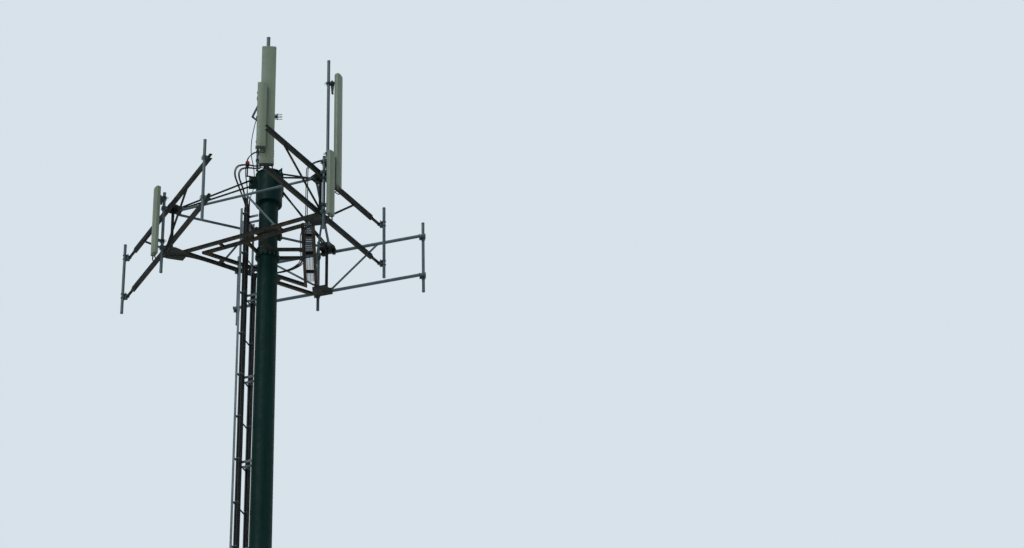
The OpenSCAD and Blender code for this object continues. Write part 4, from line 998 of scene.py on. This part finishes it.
# Panel brackets: a pair of clamp jaws on the pipe and two cheeks with a pivot bolt that
# hold a plate on the back of the panel. Folded galvanised steel.
def tilt_bracket(steel, place, radius, back, shift=0.0):
    for way in (0, math.pi):
        plate(steel, place @ moved(0, 0, -0.025) @ spun(way), pipe_strap(radius, 0.006, radius), 0.050, 0.001)
    wing, start = radius * (math.sqrt(2) - 1), radius * math.sqrt(2) + 0.004
    for s in (-1, 1):
        for lift in (-0.013, 0.013):
            tie_rod(steel, place, s * (radius + 0.013), lift, (-wing - 0.055, wing + 0.028), 0.005,
                    ((-wing - 0.006, -1), (wing + 0.006, 1)))
        cheek = place @ moved(s * 0.021, (start + back - 0.006) / 2, -0.022)
        bar(steel, cheek, (0.005, back - 0.006 - start, 0.044), 0.001)
        nut(steel, at(place, s * 0.0235, (start + back) / 2, 0, (s, 0, 0)), 0.012, 0.3 if s > 0 else 0.0)
    wide = 0.090 + abs(shift)
    bar(steel, place @ moved(shift / 2, back - 0.005, -0.028), (wide, 0.006, 0.056), 0.001)
    for s, lift in product((-1, 1), (-0.016, 0.016)):
        spot = at(place, shift / 2 + s * (wide / 2 - 0.014), back - 0.008, lift, (0, -1, 0))
        nut(steel, spot, 0.008, 0.3)


def scissor_arm(steel, place, points, across, half=0.017):
    """a folded tilt arm: pairs of flat bars from point to point with a pivot bolt at each"""
    points = [Vector(point) for point in points]
    for start, end in zip(points, points[1:]):
        run = end - start
        for s in (-1, 1):
            spot = turned_to(start + across * s * half - run.normalized() * 0.014, run, across)
            bar(steel, place @ spot, (0.030, 0.005, run.length + 0.028), 0.0012)
        half -= 0.006
    for point in points:
        nut(steel, place @ turned_to(point + across * 0.020, across), 0.012, 0.3)
        nut(steel, place @ turned_to(point - across * 0.020, -across), 0.012, 0.0)


brackets = bmesh.new()
for number, x, level, shift in ((1, 0.176, 0.240, 0.0), (1, 0.176, 0.860, 0.0), (1, 0.060, 1.500, -0.060),
                                (1, 0.060, 3.180, -0.060), (2, -0.015, 0.240, 0.0), (2, -0.015, 1.240, 0.0)):
    tilt_bracket(brackets, sector(number) @ moved(x, PIPE_OUT, level), PIPE, 0.200 - PIPE_OUT, shift)
for number, x, level, hang in ((1, 0.060, 3.180, 0.240), (1, 0.176, 0.860, 0.170), (2, -0.015, 1.240, 0.170)):
    scissor_arm(brackets, sector(number) @ moved(x - 0.034, PIPE_OUT, level),
                [(0, 0.046, 0.004), (0, 0.072, -hang), (0, 0.096, 0.004)], Vector((1, 0, 0)), 0.012)
# The brackets take the zinc darkened as painted shade.
piece = made(brackets, "panel_tilt_brackets", shade_darkened_zinc)
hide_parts("panel_brackets")

# Top mast and side pipe: galvanised pipe, the mast welded to a foot plate with four fins
# and bolted to the drum lid. Clamps with long threaded rods carry the side pipe.
MAST, MAST_RADIUS = Vector((-0.089, 0.0, 0.0)), 0.0365
SIDE_PIPE, SIDE_RADIUS = Vector((-0.245, -0.045, 0.0)), 0.025
MAST_LEFT, MAST_RIGHT, SIDE_RIGHT = MAST.x - MAST_RADIUS, MAST.x + MAST_RADIUS, SIDE_PIPE.x + SIDE_RADIUS
clad(zinc, "mast", "mast_side_pipe")
MAST_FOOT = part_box("mast")[0].z
MAST_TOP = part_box("mast")[1].z
mast_work = bmesh.new()
for k in range(8):
    spot = MAST + around(0.094, math.tau * (k + 0.5) / 8, MAST_FOOT + 0.018)
    nut(mast_work, turned_to(spot, UP), 0.014, 0.6)
weld_round(mast_work, Matrix.Translation(MAST + UP * (MAST_FOOT + 0.020)), MAST_RADIUS + 0.002, 36, 0.005)
turned(mast_work, Matrix.Translation(MAST + UP * MAST_TOP),
       [(MAST_RADIUS + 0.002, -0.030), (MAST_RADIUS + 0.0025, -0.028), (MAST_RADIUS + 0.0025, -0.006),
        (MAST_RADIUS - 0.002, -0.001), (0.004, 0.0)], 32)
for level, outward in ((1.990, DOWN), (4.040, UP)):
    cap(mast_work, turned_to(SIDE_PIPE + UP * (SHAFT_TOP + level), outward), SIDE_RADIUS)
made(mast_work, "mast_fittings", zinc)
mast_clamps = bmesh.new()
for level, far in ((2.235, -0.020), (2.440, -0.020), (3.350, 0.120)):
    base = moved(0, 0, SHAFT_TOP + level)
    blocks = [(x, 0, 0.134, 0.066, 0.012, 0.001) for x in (MAST_LEFT - 0.012, MAST_RIGHT, far)]
    if far > 0:
        blocks.append((MAST_RIGHT + 0.012, 0, 0.050, 0.050, far - MAST_RIGHT - 0.012, 0.002))
    blocks.append((SIDE_RIGHT + 0.001, -0.020, 0.110, 0.056, 0.010, 0.001))
    blocks.append((SIDE_RIGHT + 0.010, -0.020, 0.046, 0.044, MAST_LEFT - SIDE_RIGHT - 0.020, 0.002))
    for x, y, high, wide, thick, edge in blocks:
        bar(mast_clamps, base @ turned_to((x, y, 0), (1, 0, 0)), (high, wide, thick), edge)
    for y, lift in product((-0.054, 0.054), (-0.022, 0.022)):
        tube(mast_clamps, [base @ Vector((x, y, lift)) for x in (MAST_LEFT - 0.045, far + 0.105)], 0.006, 10)
        nut(mast_clamps, base @ turned_to((far + 0.012, y, lift), (1, 0, 0)), 0.012, 0.0)
        nut(mast_clamps, base @ turned_to((MAST_LEFT - 0.012, y, lift), (-1, 0, 0)), 0.012, 0.0)
    for lift in (-0.016, 0.016):
        hoop = base @ Matrix.Translation(SIDE_PIPE + UP * lift) @ spun(-math.pi / 2)
        u_bolt(mast_clamps, hoop, SIDE_RADIUS, 0.055, SIDE_RADIUS + 0.011)
for pipe, level, radius, back, shift in (
        (MAST, 2.720, MAST_RADIUS, 0.090, 0.0), (MAST, 4.660, MAST_RADIUS, 0.090, 0.0),
        (SIDE_PIPE, 2.560, SIDE_RADIUS, 0.195, -0.060), (SIDE_PIPE, 3.760, SIDE_RADIUS, 0.195, -0.060)):
    base = Matrix.Translation(pipe + UP * (SHAFT_TOP + level)) @ spun(math.pi)
    tilt_bracket(mast_clamps, base, radius, back, shift)
scissor_arm(mast_clamps, moved(0, 0, SHAFT_TOP), [(-0.276, -0.062, 3.530), (-0.368, -0.078, 3.275),
                                                  (-0.276, -0.062, 3.200)], Vector((0.17, 0.985, 0)))
for level in (3.200, 3.530):
    turned(mast_clamps, Matrix.Translation(SIDE_PIPE + UP * (SHAFT_TOP + level - 0.020)),
           [(0.0255, 0), (0.0290, 0.001), (0.0290, 0.039), (0.0255, 0.040)], 24)
# The clamps take the zinc darkened as painted shade.
piece = made(mast_clamps, "mast_clamp_set", shade_darkened_zinc)
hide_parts("mast_clamps")

# Obstruction light: a red ribbed lens on a cast base, on a black arm from the drum lid. The
# lens is moulded plastic, hardly clear, and glows faintly so that it stays red in the shade.
red = Surface("red_lens", 0.14, shine=0.35)
red.ground((0.35, 0.65, 60.0, 3.0), (0.270, 0.002, 0.012), (0.400, 0.004, 0.018))
red.coat(red.facing_up(0.3, 1.0), (0.380, 0.060, 0.058), 0.20)
for socket, value in (("Transmission Weight", 0.12), ("IOR", 1.49), ("Emission Strength", 0.10),
                      ("Emission Color", (0.60, 0.003, 0.014, 1.0))):
    red.skin.inputs[socket].default_value = value
red_lens = red.finished(red.cloud(90.0, 4.0), 0.10, 0.26)
clad(black_steel, "beacon_arm")
LAMP = Vector((-0.440, 0.070, MAST_FOOT + 0.275 + 0.022))
lens = bmesh.new()
lens_outline = [(0.035, 0.0), (0.036, 0.002), (0.036, 0.010)]
for k in range(1, 27):
    lean = -math.pi / 2 + 0.62 + (math.pi - 0.66) * k / 26
    rib = 0.0010 if k % 2 else 0.0
    lens_outline.append((max(0.003, 0.045 * math.cos(lean) - rib), 0.048 + 0.045 * math.sin(lean)))
turned(lens, Matrix.Translation(LAMP), lens_outline, 40)
piece = made(lens, "beacon_lens", red_lens, 60)
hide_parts("beacon_lamp")
lamp_base = bmesh.new()
turned(lamp_base, Matrix.Translation(LAMP + DOWN * 0.001),
       [(0.0405, -0.004), (0.0425, -0.002), (0.0425, 0.006), (0.0400, 0.009),
        (0.0370, 0.010), (0.0370, 0.012)], 36)
for k in range(4):
    nut(lamp_base, turned_to(LAMP + around(0.0385, math.tau * (k + 0.5) / 4, -0.004), DOWN), 0.006, 0.0)
made(lamp_base, "beacon_base_ring", black_steel)
arm_work = bmesh.new()
for s in (-1, 1):
    nut(arm_work, turned_to((-0.175 + s * 0.018, 0.135 - s * 0.018, MAST_FOOT + 0.010), UP), 0.008, 0.4)
made(arm_work, "beacon_arm_bolts", zinc)

# Equipment box: a small sheet steel case on the ladder below the drum, dark blue-grey powder
# coat, with a hinged lid, a drip edge, quarter-turn latches and cable glands underneath.
powder = Surface("blue_grey_powder_coat", 0.5)
powder.ground((0.35, 0.68, 5.0, 5.0), (0.052, 0.066, 0.078), (0.085, 0.100, 0.112))
powder.coat((0.54, 0.74, 34.0, 5.0, 0.6, (1, 1, 0.06)), (0.030, 0.034, 0.034), 0.5)
powder.coat(powder.facing_up(0.5, 1.0), (0.15, 0.15, 0.14), 0.5)
blue_grey = powder.finished(powder.cloud(14.0, 4.0), 0.38, 0.60, (0.0003, 240.0, 2.0))
clad(blue_grey, "head_box")
BOX_BACK, BOX_SIDE = ladder_radius(LADDER_TOP) + 0.042, -LADDER_WIDE / 2 - 0.020 + 0.115
BOX_LOW, BOX_TALL, BOX_WIDE, BOX_DEEP = LADDER_TOP - 0.330, 0.300, 0.230, 0.150


def on_box(out, aside, level):
    """a place on the box: out from its back, aside from its middle, level above its floor"""
    return ladder_place(BOX_BACK + out, BOX_SIDE + aside, BOX_LOW + level)


case = bmesh.new()
bar(case, on_box(BOX_DEEP - 0.001, 0, BOX_TALL / 2), (BOX_WIDE - 0.010, BOX_TALL - 0.010, 0.007), 0.003)
bar(case, on_box(0, 0, BOX_TALL + 0.001), (BOX_WIDE + 0.012, 0.004, BOX_DEEP + 0.016), 0.001)
for lift in (-0.095, 0.095):
    hinge = on_box(BOX_DEEP - 0.004, BOX_WIDE / 2 + 0.003, BOX_TALL / 2 + lift) @ spun(math.pi / 2, "X")
    turned(case, hinge @ moved(0, 0, -0.020),
           [(0.005, 0), (0.006, 0.001), (0.006, 0.039), (0.005, 0.040)], 14)
made(case, "head_box_lid", blue_grey)
box_metal = bmesh.new()
for lift in (-0.080, 0.080):
    latch = on_box(BOX_DEEP + 0.006, 0.022 - BOX_WIDE / 2, BOX_TALL / 2 + lift)
    turned(box_metal, latch, [(0.011, 0), (0.012, 0.001), (0.012, 0.004), (0.009, 0.005), (0.009, 0.007)], 20)
    bar(box_metal, latch @ moved(0, 0, 0.006), (0.004, 0.016, 0.004), 0.0005)
for aside, level in product((-0.065, 0.065), (0.040, BOX_TALL - 0.040)):
    bar(box_metal, on_box(-0.006, aside, level), (0.030, 0.020, 0.008), 0.001)
for aside in (-0.070, -0.023, 0.023, 0.070):
    gland = turned_to(on_ladder(BOX_BACK + BOX_DEEP / 2, BOX_SIDE + aside, BOX_LOW), DOWN)
    turned(box_metal, gland, [(0.016, -0.001), (0.016, 0.008), (0.013, 0.010)], 6)
    turned(box_metal, gland, [(0.012, 0.009), (0.0125, 0.020), (0.009, 0.024)], 16)
made(box_metal, "head_box_fittings", zinc)

# Jumpers: thinner flexible cables from the feeder tops to the panel sockets, held along
# the steel by ties. Each joint is wrapped in black rubber tape.
JUMPER = 0.0092


def eased(points, steps):
    """a smooth curve through points, the same form as the solid cables have"""
    curve = []
    for a, b, c, d in zip(points[:1] + points, points, points[1:], points[2:] + points[-1:]):
        for t in [step / steps for step in range(steps)]:
            curve.append(0.5 * (2 * b + (c - a) * t + (2 * a - 5 * b + 4 * c - d) * t * t
                                + (3 * b - a - 3 * c + d) * t * t * t))
    return curve + points[-1:]


def even(curve, gap):
    """the same curve with its points a steady distance apart, so that tight bends stay round"""
    spaced, left = [curve[0]], gap
    for start, end in zip(curve, curve[1:]):
        length = (end - start).length
        travelled = 0.0
        while length - travelled > left:
            travelled += left
            spaced.append(start.lerp(end, travelled / length))
            left = gap
        left -= length - travelled
    if (spaced[-1] - curve[-1]).length < gap / 2:
        spaced.pop()
    return spaced + [curve[-1]]


def wrapped(rubbers, curve, wide, slim, length):
    """tape wrapped round a joint from the first point of a curve, its turns showing as steps"""
    step, blunt, tape_thick = 0.004, 0.006, 0.0007
    path, radii, gone = [], [], 0.0
    for k, point in enumerate(even(curve, step)):
        if gone > length:
            break
        taper = wide + (slim - wide) * gone / length + (tape_thick if k % 4 < 2 else 0.0)
        radii.append(taper * (0.75 + 0.25 * min(1.0, gone / blunt)))
        path.append(point)
        gone += step
    tube(rubbers, path, radii, 16)


def jumper_set(name, routes, wrap=0.110, last=JUMPER):
    """the cables of one node with their wraps and ties; last is the radius of the last cable"""
    cables, rubbers, bands = bmesh.new(), bmesh.new(), bmesh.new()
    for points in routes:
        curve = even(eased(points, 12), 0.012)
        radius = last if points is routes[-1] else JUMPER
        tube(cables, curve, radius, 14)
        wrapped(rubbers, curve, 0.0180, 0.0105, wrap)
        wrapped(rubbers, curve[::-1], 0.0135, 0.0098, 0.075)
        for j in range(20, len(curve) - 12, 34):
            band = turned_to(curve[j], curve[j + 1] - curve[j - 1]) @ moved(0, 0, -0.003)
            turned(bands, band, [(radius + 0.0004, 0), (radius + 0.0016, 0.0005),
                                 (radius + 0.0016, 0.0055), (radius + 0.0004, 0.006)], 12)
            bar(bands, band @ moved(0, radius + 0.003, 0), (0.005, 0.005, 0.007), 0.0005)
    piece = made(cables, name + "_cables", black_jacket)
    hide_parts(name)
    made(rubbers, name + "_wraps", rubber)
    made(bands, name + "_ties", rubber)


def from_feeder(bundle, column, row, rise):
    """the top of one feeder and a point straight above it"""
    bundle_side, columns, height = bundle
    spot = coax_place(bundle_side, columns, column, row, height)
    return [Vector((spot.x, spot.y, height + 0.0004 + lift)) for lift in (0, rise)]


def by_head(*points):
    return [Vector((x, y, z + SHAFT_TOP)) for x, y, z in points]


def by_frame(number, *points):
    return [sector(number) @ Vector(point) for point in points]


mast_routes = []
for k, apart in enumerate((0.0, 0.0200, 0.0820, 0.1020)):
    x, lane = -0.069 + (k - 1.5) * 0.080, -0.205 - apart
    mast_routes.append(from_feeder(LEFT_BUNDLE, k, 0, 0.1196) + by_head(
        (-0.500 - apart, -0.095 - apart, 1.500), (-0.585 - apart, -0.150 - apart, 1.760),
        (-0.560 - 0.7 * apart, -0.190 - apart, 1.895 + 0.3 * apart), (-0.440, lane, 1.938 + 0.2 * apart),
        (-0.290, lane, 1.932), (x - 0.060, lane, 1.948), (x - 0.012, lane + 0.036, 1.958),
        (x, -0.150, 1.988), (x, -0.150, 2.0356)))
for k in range(2):
    x, lane = -0.185 + (k - 0.5) * 0.140, 0.026 * k
    mast_routes.append(from_feeder(LEFT_BUNDLE, k + 2, 1, 0.0996) + by_head(
        (-0.430, -0.180 - lane, 1.480), (-0.470, -0.330 - lane, 1.750), (-0.430, -0.395 - lane, 2.020),
        (-0.330 + 0.060 * k, -0.370 - lane, 2.190), (x, -0.305, 2.260), (x, -0.285, 2.310),
        (x, -0.285, 2.3656)))
mast_routes.append(from_feeder(LEFT_BUNDLE, 0, 1, 0.1196) + by_head(
    (-0.370, 0.055, 1.400), (-0.308, 0.072, 1.650), (-0.300, 0.070, 1.940), (-0.322, 0.040, 2.150),
    (-0.370, -0.010, 2.400), (-0.372, -0.040, 2.700), (-0.325, -0.055, 3.050), (-0.288, -0.052, 3.240),
    (-0.285, -0.050, 3.3146)))
jumper_set("jumpers_mast", mast_routes, 0.360, JUMPER - 0.001)

sector_1_routes = []
for k in range(2):
    lane = 0.030 * (1 - k)
    x, rise = -0.060 + (k - 0.5) * 0.110, (0.706 + lane, -1.239 + 0.6 * lane)
    sector_1_routes.append(from_feeder(RIGHT_BUNDLE, k, 0, 0.0696) + by_head(
        (-0.150, 0.440 + lane, -0.090), (0.150, 0.490 + lane, -0.040), (0.450, 0.430 + lane, 0.0),
        (0.640 + lane, 0.260, 0.016), (0.690 + lane, 0.0, 0.016), (0.685 + lane, -0.400, 0.016),
        (0.696 + lane, -0.900, 0.014), (0.708 + lane, -1.190, 0.020), (*rise, 0.090), (*rise, 0.300),
        (*rise, 1.130)
    ) + by_frame(
        1, (0.166 - lane, -0.290, 1.280), (0.150 - lane, -0.170, 1.345), (0.136 - lane, -0.020, 1.350),
        (0.130 - lane, 0.090, 1.335), (0.098 - lane, 0.148, 1.270), (0.072 - lane, 0.168, 1.100),
        (0.070 - lane, 0.170, 0.800), (0.066 - lane, 0.185, 0.660), (0.028 - 2 * lane, 0.230, 0.595),
        (x + 0.008, 0.252, 0.595), (x, 0.250, 0.640), (x, 0.250, 0.7056)))
    x = 0.176 + (k - 0.5) * 0.110
    sector_1_routes.append(from_feeder(RIGHT_BUNDLE, k, 1, 0.0396) + by_head(
        (-0.110, 0.370 + lane, -0.150), (0.150, 0.420 + lane, -0.090), (0.420, 0.360 + lane, -0.040),
        (0.590 + lane, 0.200, -0.014), (0.640 + lane, 0.0, -0.012), (0.635 + lane, -0.400, -0.012),
        (0.620 + lane, -0.800, -0.014), (0.690 + lane, -1.060, -0.022)
    ) + by_frame(
        1, (0.122 - lane, -0.100, -0.060), (0.122 - lane, 0.090, -0.120),
        (0.130 - lane + 0.014 * k, 0.170, -0.165), (x, 0.228, -0.180),
        (x, 0.250, -0.135), (x, 0.250, -0.0744)))
jumper_set("jumpers_sector_1", sector_1_routes)

sector_2_routes = []
for k in range(2):
    x, lane = -0.015 + (k - 0.5) * 0.110, 0.026 * k
    sector_2_routes.append(from_feeder(RIGHT_BUNDLE, 2, k, 0.1596) + by_head(
        (-0.236 + lane, 0.425, -0.010), (-0.226 + lane, 0.500, 0.010), (-0.300, 0.548 + lane, 0.010),
        (-0.500, 0.574 + lane, 0.008), (-0.800, 0.414 + lane, 0.008), (-1.300, 0.144 + lane, 0.008),
        (-1.650, 0.004 + lane, -0.010)
    ) + by_frame(
        2, (0.034 + lane, -0.060, -0.030), (0.034 + lane, 0.110, -0.130),
        (2.4 * lane - 0.014, 0.190, -0.215), (x, 0.236, -0.225), (x, 0.250, -0.195), (x, 0.250, -0.1444)))
jumper_set("jumpers_sector_2", sector_2_routes)
